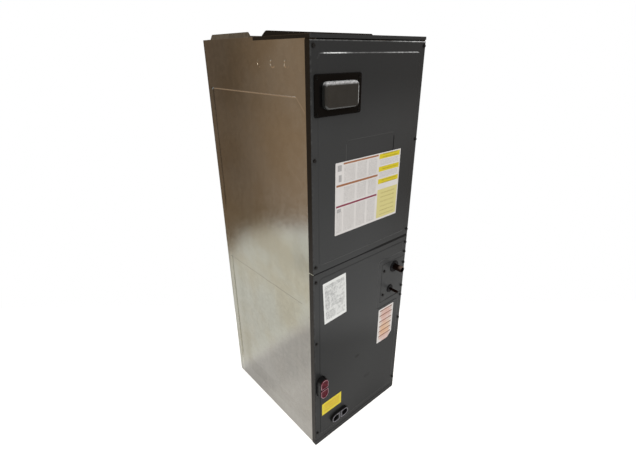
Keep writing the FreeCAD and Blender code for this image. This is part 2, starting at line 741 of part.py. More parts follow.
def supply_flange_left():
    edge = -HALF_WIDTH + SUPPLY_INSET
    front, rear = behind(CAP_DEPTH + TAB_GAP), BACK_Y - TAB_BACK
    path = [(edge - SUPPLY_INSET / 2, SIDE_TOP), (edge, SIDE_TOP), (edge, CAP_TOP + SUPPLY_TAB)]
    return supply_flange(path, on_front(front), Y * (rear - front), (front, rear),
                         on_side(edge - SUPPLY_INSET), X * (2 * SUPPLY_INSET))


def supply_flange_right():
    return mirrored(supply_flange_left())


def supply_flange_back():
    half = HALF_WIDTH - SUPPLY_INSET - TOP_FLANGE
    edge = BACK_Y - SUPPLY_INSET
    path = [(edge, CAP_TOP + SUPPLY_TAB), (edge, SIDE_TOP), (edge + SUPPLY_INSET / 2, SIDE_TOP)]
    return supply_flange(path, on_side(-half), X * (2 * half), (-half, half),
                         on_front(edge - SUPPLY_INSET), Y * (2 * SUPPLY_INSET))


def seam_rail():
    """Channel across the front behind the panel seam."""
    low, high = SEAM_Z - RAIL_HEIGHT / 2, SEAM_Z + RAIL_HEIGHT / 2
    web = behind(RAIL_SETBACK)
    path = [(web + RAIL_LEG, high), (web, high), (web, low), (web + RAIL_LEG, low)]
    return bent_sheet(path, on_side(-SIDE_IN), X * (2 * SIDE_IN))


def pan_rail():
    """Left angle under the drain pan."""
    path = [(-SIDE_IN, PAN_FOOT - PAN_RAIL_DROP), (-SIDE_IN, PAN_FOOT), (-SIDE_IN + PAN_RAIL_LEG, PAN_FOOT)]
    return bent_sheet(path[::-1], on_front(behind(PAN_FRONT)), Y * (PAN_REAR - PAN_FRONT), PAN_RAIL)


def side_board():
    """Left insulation board, against the pressed fields."""
    outer = -SIDE_IN + FIELD_DEPTH
    front = behind(RAIL_SETBACK + RAIL_LEG + INSULATION_FRONT_GAP)
    rear = BACK_IN_Y - FIELD_DEPTH - INSULATION - CLEAR_GAP
    return box((outer, outer + INSULATION), (front, rear), INSULATION_Z)


def back_board():
    half = SIDE_IN - FIELD_DEPTH
    rear = BACK_IN_Y - FIELD_DEPTH
    return box((-half, half), (rear - INSULATION, rear), INSULATION_Z)


# Front panels

def panel_shell(low, high):
    """A front panel's folded sheet: face, side returns, and hems between the cabinet flanges."""
    path = [(-HALF_WIDTH, behind(PANEL_RETURN)), (-HALF_WIDTH, FRONT_Y), (HALF_WIDTH, FRONT_Y),
            (HALF_WIDTH, behind(PANEL_RETURN))]
    sheet = bent_sheet(path, on_plan(low), Z * (high - low))
    half = FLANGE_EDGE - PANEL_PULL_CLEARANCE
    hems = [box((-half, half), (FRONT_Y, behind(PANEL_HEM)), (z, z + SHEET)) for z in (low, high - SHEET)]
    return joined([sheet] + hems)


def upper_access_panel():
    panel = panel_shell(UPPER_FOOT, PANEL_TOP)
    half = HALF_WIDTH - PANEL_FIELD_INSET
    field = rectangle((-half, half), (UPPER_FOOT + PANEL_FIELD_INSET, PANEL_TOP - PANEL_FIELD_TOP),
                      PANEL_FIELD_RADIUS)
    panel = pressed(panel, field, on_front(FRONT_Y + SHEET), -Y, PANEL_FIELD_RISE, PANEL_FIELD_SLOPE)
    badge_top = PANEL_TOP - BADGE_DROP
    badge = rectangle((across(BADGE_LEFT), across(BADGE_LEFT + BADGE_WIDTH)),
                      (badge_top - BADGE_HEIGHT, badge_top), BADGE_RADIUS)
    panel = pressed(panel, badge, on_front(FIELD_FACE_Y), Y, BADGE_PRESS, BADGE_SLOPE)
    return panel.cut(breaker_window()).cut(screw_holes(UPPER_SCREW_PLACES))


def boot_span(inset):
    return ((across(BOOT_LEFT + inset), across(BOOT_LEFT + BOOT_WIDTH - inset)),
            (BOOT_FOOT + inset, BOOT_FOOT + BOOT_HEIGHT - inset))


def breaker_window():
    """The opening through the panel and its insulation in front of the breaker."""
    span = boot_span(BOOT_RIM)
    return prism(rectangle(*span, BOOT_RADIUS - BOOT_RIM), on_front(FIELD_FACE_Y - OVERCUT),
                 Y * (LINER + PANEL_RETURN))


def upper_panel_liner():
    half = FLANGE_EDGE - 2 * PANEL_PULL_CLEARANCE
    start = FRONT_Y + SHEET
    board = box((-half, half), (start, start + LINER),
                (UPPER_FOOT + PANEL_FIELD_INSET, PANEL_TOP - PANEL_FIELD_TOP - PANEL_FIELD_INSET))
    return board.cut(breaker_window())


def breaker_cover():
    """Moulded plate round the breaker boot, with a bevelled rim."""
    span = (across(COVER_LEFT), across(COVER_LEFT + COVER_WIDTH))
    corners = rectangle(span, (COVER_FOOT, COVER_FOOT + COVER_HEIGHT), COVER_RADIUS)
    plate = tapered(corners, COVER_THICKNESS / 2, on_front(FIELD_FACE_Y), Y * -COVER_THICKNESS)
    window = prism(rectangle(*boot_span(-LAP_GAP), BOOT_RADIUS), on_front(FIELD_FACE_Y + OVERCUT),
                   Y * -(COVER_THICKNESS + 2 * OVERCUT))
    return plate.cut(window)


def breaker_boot():
    """Soft boot over the breaker handle, hollow, with drafted walls and a rounded crown."""
    rise = COVER_THICKNESS + BOOT_RISE
    base = rectangle(*boot_span(0), BOOT_RADIUS)
    steps = [(0.0, 0.0)]
    for k in range(CORNER_FLAT_COUNT + 1):
        turn = math.pi / 2 * k / CORNER_FLAT_COUNT
        steps.append((rise - BOOT_CROWN * (1 - math.sin(turn)),
                      BOOT_DRAFT + BOOT_CROWN * (1 - math.cos(turn))))
    sections = [outline_points(drawn_in(base, inset), on_front(FIELD_FACE_Y - height))
                for height, inset in steps]
    hollow = tapered(rectangle(*boot_span(BOOT_RIM), BOOT_RADIUS - BOOT_RIM), BOOT_DRAFT,
                     on_front(FIELD_FACE_Y + OVERCUT), Y * -(rise + OVERCUT - BOOT_WALL))
    return skinned(sections).cut(hollow)


def plate_notch(gap):
    """The space of the tubing plate, widened by a gap, through the lower panel."""
    return box((across(PLATE_LEFT - gap), HALF_WIDTH + OVERCUT),
               (FIELD_FACE_Y - OVERCUT, behind(PANEL_RETURN) + OVERCUT), (PLATE_FOOT - gap, PLATE_TOP + gap))


def boss_corners(u, z, upright, growth):
    half = (BOSS_SHORT / 2, BOSS_LONG / 2) if upright else (BOSS_LONG / 2, BOSS_SHORT / 2)
    a = (across(u) - half[0] - growth, across(u) + half[0] + growth)
    b = (z - half[1] - growth, z + half[1] + growth)
    return rectangle(a, b, BOSS_SHORT / 2 + growth - LAP_GAP)


def boss_holes(depth):
    """Oblong holes that let the drain bosses through the lower panel."""
    start = on_front(FIELD_FACE_Y - OVERCUT)
    return [prism(boss_corners(LEVEL_BOSS_U, LEVEL_BOSS_Z, False, BOSS_CLEARANCE), start, Y * depth),
            prism(boss_corners(UPRIGHT_BOSS_U, UPRIGHT_BOSS_Z, True, BOSS_CLEARANCE), start, Y * depth)]


def lower_access_panel():
    panel = panel_shell(LOWER_FOOT, LOWER_TOP)
    edge = HALF_WIDTH - PANEL_FIELD_INSET
    notch_x = across(PLATE_LEFT - PANEL_FIELD_INSET)
    low, high = LOWER_FOOT + LOWER_FIELD_FOOT, LOWER_TOP - LOWER_FIELD_FOOT
    notch_z = (PLATE_FOOT - PANEL_FIELD_INSET, PLATE_TOP + PANEL_FIELD_INSET)
    places = [(-edge, low), (edge, low), (edge, notch_z[0]), (notch_x, notch_z[0]), (notch_x, notch_z[1]),
              (edge, notch_z[1]), (edge, high), (-edge, high)]
    field = [(a, b, PANEL_FIELD_RADIUS) for a, b in places]
    panel = pressed(panel, field, on_front(FRONT_Y + SHEET), -Y, PANEL_FIELD_RISE, PANEL_FIELD_SLOPE)
    for opening in [plate_notch(PLATE_GAP), screw_holes(LOWER_SCREW_PLACES)] + boss_holes(PANEL_HEM):
        panel = panel.cut(opening)
    return panel


def lower_panel_liner():
    start = FRONT_Y + SHEET
    right = across(PLATE_LEFT - PLATE_GAP) - PANEL_FIELD_INSET
    board = box((-FLANGE_EDGE + 2 * PANEL_PULL_CLEARANCE, right), (start, start + LINER),
                (LOWER_FOOT + PANEL_FIELD_INSET, LOWER_TOP - PANEL_FIELD_INSET))
    for hole in boss_holes(PANEL_HEM + LINER):
        board = board.cut(hole)
    return board


def screw_group(places, face_y):
    return Part.makeCompound([hex_screw(x, z, face_y) for x, z in places])


def tubing_plate():
    """Painted plate in the lower panel's notch, with a return on the side and holes for the lines."""
    path = [(across(PLATE_LEFT), FRONT_Y), (HALF_WIDTH, FRONT_Y), (HALF_WIDTH, behind(PANEL_RETURN))]
    plate = bent_sheet(path, on_plan(PLATE_FOOT), Z * PLATE_HEIGHT)
    for x, z, radius in ((SUCTION_X, SUCTION_Z, SUCTION_RADIUS), (LIQUID_X, LIQUID_Z, LIQUID_RADIUS)):
        rim = polygon(x, z, radius + GROMMET_NECK + TUBE_GAP, SMALL_SIDES)
        plate = plate.cut(prism(rim, on_front(FRONT_Y - OVERCUT), Y * (SHEET + 2 * OVERCUT)))
    return plate.cut(screw_holes(PLATE_SCREW_PLACES))


def tubing_bracket():
    """Frame behind the tubing plate, carried by the right side's front flange."""
    left = across(PLATE_LEFT)
    right = FLANGE_EDGE + FRONT_FLANGE / 2
    frame = box((left, right), (FLANGE_BACK_Y, FLANGE_BACK_Y + SHEET),
                (PLATE_FOOT - BRACKET_WIDTH, PLATE_TOP + BRACKET_WIDTH))
    hollow = box((left + BRACKET_WIDTH, right + OVERCUT), (FRONT_Y, BACK_Y), (PLATE_FOOT, PLATE_TOP))
    pad = box((left, left + BRACKET_WIDTH), (FRONT_Y + SHEET, FLANGE_BACK_Y), (PLATE_FOOT, PLATE_TOP))
    return joined([frame.cut(hollow), pad]).cut(screw_holes(PLATE_SCREW_PLACES + LOWER_SCREW_PLACES))


def grommet(x, z, tube_radius):
    """Rubber ring with a groove that holds the tubing plate's edge."""
    bore = around(tube_radius + TUBE_GAP, SMALL_SIDES)
    neck = tube_radius + GROMMET_NECK
    rim = tube_radius + GROMMET_RIM
    front, back = FRONT_Y - GROMMET_FLANGE, FRONT_Y + SHEET + GROMMET_FLANGE
    profile = [(front, bore), (front, rim - GROMMET_FLANGE), (FRONT_Y, rim), (FRONT_Y, neck),
               (FRONT_Y + SHEET, neck), (FRONT_Y + SHEET, rim), (back, rim - GROMMET_FLANGE), (back, bore)]
    return turned(profile, SMALL_SIDES, along_y(x, z), True)


# Drain

def boss_with_ports(u, z, upright, rise, rear):
    """An oblong drain boss from in front of the panel back to a pan, and where its two ports start and run."""
    front = FRONT_Y - rise
    boss = prism(boss_corners(u, z, upright, 0), on_front(front), Y * (rear - front))
    step = (Z if upright else X) * (PORT_SPACING / 2)
    middle = Vector(across(u), front - OVERCUT, z)
    return boss, [middle - step, middle + step], Y * (rear - front + OVERCUT + 2 * PAN_WALL)


def drain_pan():
    """Ring-shaped trough under the coil, with ribs that carry the slabs and a boss with two ports."""
    depth = (behind(PAN_FRONT), behind(PAN_REAR))
    outer = rectangle((-PAN_HALF, PAN_HALF), depth, PAN_CORNER)
    opening = rectangle((-PAN_OPENING_HALF, PAN_OPENING_HALF),
                        (behind(PAN_OPENING_FRONT), behind(PAN_OPENING_REAR)), PAN_CORNER)
    body = prism(outer, on_plan(PAN_FOOT), Z * PAN_HEIGHT)
    trough = prism(drawn_in(outer, PAN_WALL), on_plan(PAN_FOOT + PAN_WALL), Z * PAN_HEIGHT)
    island = prism(drawn_in(opening, -PAN_WALL), on_plan(PAN_FOOT), Z * PAN_HEIGHT)
    hole = prism(opening, on_plan(PAN_FOOT - OVERCUT), Z * (PAN_HEIGHT + 2 * OVERCUT))
    boss, starts, run = boss_with_ports(LEVEL_BOSS_U, LEVEL_BOSS_Z, False, LEVEL_BOSS_RISE,
                                        depth[0] + PAN_WALL / 2)
    ports = [rod(start, start + run, PORT_RADIUS) for start in starts]
    pan = joined([body.cut(trough.cut(island)), boss]).cut(hole)
    floor = PAN_FOOT + PAN_WALL
    step = (COIL_REAR - COIL_FRONT) / (PAN_RIB_COUNT + 1)
    ribs = []
    for i in range(PAN_RIB_COUNT):
        y = behind(COIL_FRONT + step * (i + 1))
        for sign in (-1, 1):
            reach = sorted((sign * (PAN_OPENING_HALF + PAN_WALL), sign * (PAN_HALF - PAN_WALL)))
            ribs.append(box(reach, (y - PAN_WALL / 2, y + PAN_WALL / 2), (floor, floor + PAN_RIB)))
    return joined([pan] + ribs).cut(Part.makeCompound(ports))


def side_drain_pan():
    """Upright tray beside the coil, with a boss whose two ports are plugged."""
    outer = -PAN_HALF
    depth = (behind(PAN_FRONT), behind(PAN_REAR))
    height = (PAN_FOOT + PAN_HEIGHT, SIDE_PAN_TOP)
    rim = rectangle(depth, height, PAN_CORNER)
    tray = prism(rim, on_side(outer), X * SIDE_PAN_DEPTH)
    hollow = prism(drawn_in(rim, PAN_WALL), on_side(outer + PAN_WALL), X * SIDE_PAN_DEPTH)
    boss, starts, run = boss_with_ports(UPRIGHT_BOSS_U, UPRIGHT_BOSS_Z, True, UPRIGHT_BOSS_RISE,
                                        depth[0] + PAN_WALL / 2)
    radius = around(PORT_RADIUS, SMALL_SIDES)
    ports = [prism(polygon(start.x, start.z, radius, SMALL_SIDES), on_front(start.y), run) for start in starts]
    return joined([tray.cut(hollow), boss]).cut(Part.makeCompound(ports))


def drain_plug(z):
    """Plug in an upright port, with a rim and a driving well."""
    front = FRONT_Y - UPRIGHT_BOSS_RISE
    stem = PORT_RADIUS - TUBE_GAP
    steps = [(front - PLUG_RIM, PLUG_RIM_RADIUS), (front, PLUG_RIM_RADIUS),
             (front, stem), (front + PLUG_DEPTH, stem)]
    plug = turned(steps, SMALL_SIDES, along_y(across(UPRIGHT_BOSS_U), z))
    well = polygon(across(UPRIGHT_BOSS_U), z, PLUG_WELL_RADIUS, SMALL_SIDES)
    return plug.cut(prism(well, on_front(front - PLUG_RIM - OVERCUT), Y * (PLUG_WELL + OVERCUT)))


def drain_plugs():
    return Part.makeCompound([drain_plug(UPRIGHT_BOSS_Z + s * PORT_SPACING / 2) for s in (-1, 1)])


# Coil

COIL_LENGTH = TUBE_COUNT * TUBE_PITCH
COIL_THICKNESS = 2 * ROW_PITCH
COIL_TILT = math.asin((COIL_FOOT - COIL_HEAD) / COIL_LENGTH)
COIL_FOOT_Z = PAN_FOOT + PAN_WALL + PAN_RIB + COIL_THICKNESS / 2 * math.sin(COIL_TILT)
HEADER_TOP = SUCTION_Z - 2 * RISER_BEND
LEVEL_RISE = TUBE_PITCH * math.cos(COIL_TILT)
TOP_LEVEL = min(TUBE_COUNT - 1, int((HEADER_TOP - HEADER_HEAD - COIL_FOOT_Z) / LEVEL_RISE - 0.5))
CIRCUIT_LEVELS = [TOP_LEVEL - CIRCUIT_STEP_COUNT * (CIRCUIT_COUNT - 1 - i) for i in range(CIRCUIT_COUNT)]


def leaned(shape):
    """A shape drawn upright about the slab's foot, tilted to the right slab's lean and put in place."""
    shape = shape.copy()
    shape.rotate(Vector(0, 0, 0), Y, -math.degrees(COIL_TILT))
    shape.translate(Vector(COIL_FOOT, 0, COIL_FOOT_Z))
    return shape


def tube_place(row, level):
    """X and Z of a coil tube on the right slab, rows counted from the inside."""
    local = Vector((row - 0.5) * ROW_PITCH, 0, (level + 0.5) * TUBE_PITCH)
    turned = FreeCAD.Rotation(Y, -math.degrees(COIL_TILT)).multVec(local)
    return turned.x + COIL_FOOT, turned.z + COIL_FOOT_Z


def coil_slab():
    """Right fin pack."""
    half = COIL_THICKNESS / 2
    depth = (behind(COIL_FRONT) + END_PLATE, behind(COIL_REAR) - END_PLATE)
    return leaned(box((-half, half), depth, (0, COIL_LENGTH)))


def end_plate(y):
    half = COIL_THICKNESS / 2
    return leaned(box((-half, half), (y, y + END_PLATE), (0, COIL_LENGTH)))


def coil_end_plates():
    """The four tube sheets at the ends of the slabs."""
    right = [end_plate(behind(COIL_FRONT)), end_plate(behind(COIL_REAR) - END_PLATE)]
    return Part.makeCompound(right + [mirrored(plate) for plate in right])


def return_bend(start, end, outward):
    """A U-bend between two tube ends, standing out along outward."""
    middle, arm = (start + end) / 2, (start - end) / 2
    reach = outward * arm.Length
    stations = []
    for k in range(RETURN_STEPS + 1):
        turn = math.pi * k / RETURN_STEPS
        place = middle + arm * math.cos(turn) + reach * math.sin(turn)
        stations.append((place, (reach * math.cos(turn) - arm * math.sin(turn)).normalize()))
    return tube_through(stations, arm.cross(outward).normalize(), COIL_TUBE_RADIUS, TUBE_SIDES)


def bends(level_step, y, outward):
    """One end's U-bends on both slabs; level_step tells whether a bend also climbs one tube level."""
    made = []
    for level in range(TUBE_COUNT - level_step):
        near, far = tube_place(0, level + level_step), tube_place(1, level)
        bend = return_bend(Vector(near[0], y, near[1]), Vector(far[0], y, far[1]), Y * outward)
        made.append(mirrored(bend))
        if outward > 0 or level not in CIRCUIT_LEVELS:
            made.append(bend)
    return Part.makeCompound(made)


def return_bends_front():
    return bends(0, behind(COIL_FRONT), -1)


def return_bends_back():
    return bends(1, behind(COIL_REAR), 1)


def slab_inner_x(z):
    """X of the right slab's inner face at a height."""
    foot_x = COIL_FOOT - COIL_THICKNESS / 2 * math.cos(COIL_TILT)
    foot_z = PAN_FOOT + PAN_WALL + PAN_RIB
    return foot_x - (z - foot_z) * math.tan(COIL_TILT)


COIL_TOP = COIL_FOOT_Z + COIL_LENGTH * math.cos(COIL_TILT) - COIL_THICKNESS / 2 * math.sin(COIL_TILT)


def coil_baffle(y):
    """Sheet that closes the end of the A between the slabs, standing on the drain pan's inner rim."""
    low = PAN_FOOT + PAN_HEIGHT
    bottom, top = slab_inner_x(low) - TUBE_GAP, slab_inner_x(COIL_TOP) - TUBE_GAP
    corners = [(-bottom, low, 0), (bottom, low, 0), (top, COIL_TOP, 0), (-top, COIL_TOP, 0)]
    return prism(corners, on_front(y), Y * SHEET)


def coil_baffles():
    return Part.makeCompound([coil_baffle(behind(PAN_OPENING_FRONT) - PAN_WALL),
                              coil_baffle(behind(PAN_OPENING_REAR))])


def coil_cap():
    """Roof over the top of the A, resting on the slabs' upper corners."""
    half = COIL_HEAD + COIL_THICKNESS / 2 * math.cos(COIL_TILT) + SHEET + BEND
    top = COIL_FOOT_Z + COIL_LENGTH * math.cos(COIL_TILT) + COIL_THICKNESS / 2 * math.sin(COIL_TILT) + SHEET
    wide = half + CAP_TURN * math.tan(COIL_TILT) + SHEET
    path = [(wide, top - CAP_TURN), (half, top), (-half, top), (-wide, top - CAP_TURN)]
    return bent_sheet(path, on_front(behind(COIL_FRONT)), Y * (COIL_REAR - COIL_FRONT))


def free_end(start, radius):
    """The round stretch of a line in front of its grommet, where the next tube is joined."""
    return rod(start, start + Y * (STUB_PROJECTION - GROMMET_FLANGE), radius)


def suction_line():
    """Suction stub, its elbow and the riser down to the header's top."""
    y = behind(HEADER_SETBACK)
    points = [Vector(SUCTION_X, FRONT_Y - STUB_PROJECTION, SUCTION_Z), Vector(SUCTION_X, y, SUCTION_Z),
              Vector(SUCTION_X, y, HEADER_TOP)]
    outer, inner = [plain_tube(points, RISER_BEND, radius, SMALL_SIDES, RISER_STEPS)
                    for radius in (SUCTION_RADIUS, SUCTION_RADIUS - TUBE_WALL)]
    return joined([outer, free_end(points[0], SUCTION_RADIUS)]).cut(inner)


def suction_header():
    """Upright header with branches to the right slab's outer tubes."""
    y = behind(HEADER_SETBACK)
    foot = tube_place(1, CIRCUIT_LEVELS[0])[1] - HEADER_TAIL
    header = prism(polygon(SUCTION_X, y, SUCTION_RADIUS, SMALL_SIDES), on_plan(foot), Z * (HEADER_TOP - foot))
    branches = []
    for level in CIRCUIT_LEVELS:
        tube_x, tube_z = tube_place(1, level)
        points = [Vector(SUCTION_X, y, tube_z), Vector(tube_x, y, tube_z),
                  Vector(tube_x, behind(COIL_FRONT), tube_z)]
        branches.append(plain_tube(points, BRANCH_BEND, COIL_TUBE_RADIUS - TUBE_WALL))
    return joined([header] + branches)


def liquid_line():
    """Liquid stub, back to the metering body."""
    start = Vector(LIQUID_X, FRONT_Y - STUB_PROJECTION, LIQUID_Z)
    run = Y * (STUB_PROJECTION + METER_FRONT)
    outer, inner = [prism(polygon(LIQUID_X, LIQUID_Z, radius, SMALL_SIDES), on_front(start.y), run)
                    for radius in (LIQUID_RADIUS, LIQUID_RADIUS - TUBE_WALL)]
    return joined([outer, free_end(start, LIQUID_RADIUS)]).cut(inner)


def metering_body():
    """Brass flow restrictor between the liquid line and the feeder tubes, with a hexagon in front."""
    start = behind(METER_FRONT)
    middle = start + METER_LENGTH / 2
    nut = prism(polygon(LIQUID_X, LIQUID_Z, METER_RADIUS), on_front(start), Y * (METER_LENGTH / 2))
    steps = [(middle, METER_NECK), (start + METER_LENGTH, METER_RADIUS)]
    return joined([nut, turned(steps, SMALL_SIDES, along_y(LIQUID_X, LIQUID_Z))])


def feeder_tubes():
    """Small tubes from the metering body to the right slab's inner row."""
    y = behind(METER_FRONT + METER_LENGTH)
    tubes = []
    for i, level in enumerate(CIRCUIT_LEVELS):
        tube_x, tube_z = tube_place(0, level)
        offset = (i - (CIRCUIT_COUNT - 1) / 2) * FEEDER_PITCH
        start = Vector(LIQUID_X, y, LIQUID_Z)
        turn_y = y + FEEDER_BEND + FEEDER_RADIUS
        points = [start + Z * offset, Vector(start.x, turn_y, start.z + offset),
                  Vector(tube_x, turn_y, tube_z), Vector(tube_x, behind(COIL_FRONT), tube_z)]
        tubes.append(plain_tube(points, FEEDER_BEND, FEEDER_RADIUS))
    return Part.makeCompound(tubes)


# Blower

BLOWER_Y = behind(BLOWER_SETBACK)
AXIS = Vector(0, BLOWER_Y, BLOWER_Z)
HOUSING_HALF = HOUSING_WIDTH / 2
TONGUE_TURN = math.radians(TONGUE_ANGLE)
SCROLL_DROP = SCROLL_FRONT * math.cos(TONGUE_TURN) - math.sqrt(
    (WHEEL_RADIUS + TONGUE_GAP) ** 2 - (SCROLL_FRONT * math.sin(TONGUE_TURN)) ** 2)
SCROLL_STEP = (SCROLL_REAR - SCROLL_FRONT) / 3
OUTLET_REAR_Y = BLOWER_Y + SCROLL_REAR
OUTLET_FRONT_Y = BLOWER_Y - SCROLL_FRONT * math.sin(TONGUE_TURN)


def scroll_edges(growth, x):
    """The scroll from the tongue round the front, the bottom and the rear, as three arcs that widen."""
    centre = Vector(x, BLOWER_Y, BLOWER_Z - SCROLL_DROP)
    arcs = []
    turns = ((TONGUE_ANGLE, 90.0), (90.0, 180.0), (180.0, 270.0))
    shifts = (Vector(0, 0, 0), Y * SCROLL_STEP, Z * SCROLL_STEP)
    for i, (low, high) in enumerate(turns):
        centre = centre + shifts[i]
        radius = SCROLL_FRONT + SCROLL_STEP * i + growth
        angles = [math.radians(a) for a in (low, (low + high) / 2, high)]
        points = [centre + (Y * -math.sin(a) + Z * math.cos(a)) * radius for a in angles]
        arcs.append((points, Part.Arc(*points).toShape()))
    start, end = arcs[0][0][0], arcs[-1][0][-1]
    top = Vector(x, end.y, DECK_Z)
    return start, top, [edge for _, edge in arcs] + [Part.makeLine(end, top)]


def blower_scroll():
    """Wrapped sheet of the blower housing: the spiral, its tongue and the back of the outlet."""
    x = -HOUSING_HALF + SHEET
    inner_start, inner_top, inner = scroll_edges(0.0, x)
    outer_start, outer_top, outer = scroll_edges(SHEET, x)
    lip_foot = Vector(x, inner_start.y + SHEET, inner_start.z)
    lip_top = Vector(x, lip_foot.y, DECK_Z)
    throat_top = Vector(x, outer_start.y, DECK_Z)
    tongue = [Part.makeLine(outer_start, throat_top), Part.makeLine(throat_top, lip_top),
              Part.makeLine(lip_top, lip_foot), Part.makeLine(lip_foot, inner_start)]
    edges = inner + [Part.makeLine(inner_top, outer_top)] + outer + tongue
    face = Part.Face(Part.Wire(Part.__sortEdges__(edges)))
    return face.extrude(X * (HOUSING_WIDTH - 2 * SHEET))


def blower_side():
    """Left housing side: scroll-shaped plate with a funnel inlet and an ear under the deck."""
    x = -HOUSING_HALF
    start, top, edges = scroll_edges(SHEET, x)
    tongue_top = Vector(x, start.y, DECK_Z)
    edges = edges + [Part.makeLine(top, tongue_top), Part.makeLine(tongue_top, start)]
    plate = Part.Face(Part.Wire(Part.__sortEdges__(edges))).extrude(X * SHEET)
    mouth = BLADE_INNER_RADIUS + INLET_ROLL
    eye = polygon(AXIS.y, AXIS.z, mouth, LARGE_SIDES)
    plate = plate.cut(prism(eye, on_side(x - OVERCUT), X * (SHEET + 2 * OVERCUT)))
    middle = INLET_ROLL * (1 - math.sqrt(0.5))
    curve = [(x, mouth), (x + middle, BLADE_INNER_RADIUS + middle), (x + INLET_ROLL, BLADE_INNER_RADIUS)]
    profile = curve + [(along + SHEET, radius + SHEET) for along, radius in curve[::-1]]
    roll = turned(profile, LARGE_SIDES, along_x(AXIS), True)
    ear = box((x - HOUSING_EAR, x + SHEET), (tongue_top.y, top.y), (DECK_Z - SHEET, DECK_Z))
    return joined([plate, roll, ear])


def blower_deck():
    """Shelf that closes the blower compartment at the top, with its edges turned down and the outlet cut."""
    depth = (FLANGE_BACK_Y, BACK_IN_Y - SHEET)
    top = DECK_Z + SHEET
    rim = rectangle((-SIDE_IN, SIDE_IN), depth, BASE_CORNER)
    block = prism(rim, on_plan(top - DECK_TURN), Z * DECK_TURN)
    hollow = prism(drawn_in(rim, SHEET), on_plan(top - DECK_TURN - SHEET), Z * DECK_TURN)
    outlet = box((-HOUSING_HALF + SHEET, HOUSING_HALF - SHEET), (OUTLET_FRONT_Y + SHEET, OUTLET_REAR_Y),
                 (DECK_Z - OVERCUT, top + OVERCUT))
    return block.cut(hollow).cut(outlet)


def blade():
    """One forward-curved blade, from rim to rim."""
    start = Vector(-WHEEL_WIDTH / 2 + WHEEL_RIM, BLADE_INNER_RADIUS, 0)
    lean = math.radians(BLADE_LEAN)
    tip_radius = WHEEL_RADIUS - BLADE_THICKNESS / 2
    end = Vector(start.x, tip_radius * math.cos(lean), tip_radius * math.sin(lean))
    chord = (end - start).normalize()
    bulge = Vector(0, chord.z, -chord.y) * BLADE_BULGE
    side = Vector(0, chord.z, -chord.y) * BLADE_THICKNESS
    curve = Part.Arc(start, (start + end) / 2 + bulge, end).toShape().discretize(BLADE_FLAT_COUNT + 1)
    corners = curve + [point + side for point in curve[::-1]]
    return Part.Face(Part.makePolygon(corners + corners[:1])).extrude(X * (WHEEL_WIDTH - 2 * WHEEL_RIM))


def blower_wheel():
    """Double-inlet wheel: a centre disc, forward-curved blades and a rim at each end."""
    half = WHEEL_WIDTH / 2
    face = BLADE_THICKNESS / 2
    outer = around(WHEEL_RADIUS, BLADE_COUNT)
    inner = BLADE_INNER_RADIUS + BLADE_BULGE
    bore = around(HUB_RADIUS + RUNNING_GAP, BLADE_COUNT)
    one = blade()
    blades = []
    for i in range(BLADE_COUNT):
        turned_blade = one.copy()
        turned_blade.rotate(Vector(0, 0, 0), X, 360.0 * i / BLADE_COUNT)
        blades.append(turned_blade)
    disc = flat_ring(-face, face, inner, bore)
    rims = [flat_ring(start, start + WHEEL_RIM, outer, inner) for start in (-half, half - WHEEL_RIM)]
    return disc.multiFuse(rims + blades).removeSplitter().translated(AXIS)


def flat_ring(start, end, outer, inner):
    """A ring about the X axis with a flat for each blade."""
    steps = [(start, inner), (start, outer), (end, outer), (end, inner)]
    return turned(steps, BLADE_COUNT, along_x(Vector(0, 0, 0)), True)


def wheel_hub():
    """Hub that clamps the wheel's disc to the shaft, with a flange on one side of the disc."""
    half = HUB_LENGTH / 2
    face = BLADE_THICKNESS / 2
    bore = around(SHAFT_RADIUS + RUNNING_GAP, SMALL_SIDES)
    steps = [(-half, bore), (-half, HUB_RADIUS), (face, HUB_RADIUS), (face, HUB_FLANGE_RADIUS),
             (face + HUB_FLANGE, HUB_FLANGE_RADIUS), (face + HUB_FLANGE, HUB_RADIUS),
             (half, HUB_RADIUS), (half, bore)]
    return turned(steps, SMALL_SIDES, along_x(AXIS), True)


def motor_shaft():
    end = MOTOR_START + MOTOR_LENGTH + MOTOR_BOSS
    return turned([(-HUB_LENGTH, SHAFT_RADIUS), (end + MOTOR_BOSS, SHAFT_RADIUS)], SMALL_SIDES, along_x(AXIS))


def motor():
    """Motor can with bevelled ends, bearing bosses, vent slots and a shaft bore."""
    end = MOTOR_START + MOTOR_LENGTH
    bore = around(SHAFT_RADIUS + RUNNING_GAP, LARGE_SIDES)
    shoulder = MOTOR_RADIUS - MOTOR_EDGE
    steps = [(MOTOR_START - MOTOR_BOSS, bore), (MOTOR_START - MOTOR_BOSS, MOTOR_BOSS_RADIUS),
             (MOTOR_START, MOTOR_BOSS_RADIUS), (MOTOR_START, shoulder),
             (MOTOR_START + MOTOR_EDGE, MOTOR_RADIUS), (end - MOTOR_EDGE, MOTOR_RADIUS),
             (end, shoulder), (end, MOTOR_BOSS_RADIUS),
             (end + MOTOR_BOSS, MOTOR_BOSS_RADIUS), (end + MOTOR_BOSS, bore)]
    slots = []
    for i in range(MOTOR_SLOTS):
        slot = box((end - MOTOR_EDGE, end + OVERCUT), MOTOR_SLOT_REACH, (-MOTOR_EDGE / 2, MOTOR_EDGE / 2))
        slot.rotate(Vector(0, 0, 0), X, 360.0 * i / MOTOR_SLOTS)
        slots.append(slot)
    can = turned(steps, LARGE_SIDES, along_x(Vector(0, 0, 0)), True)
    return can.removeSplitter().cut(Part.makeCompound(slots)).translated(AXIS)


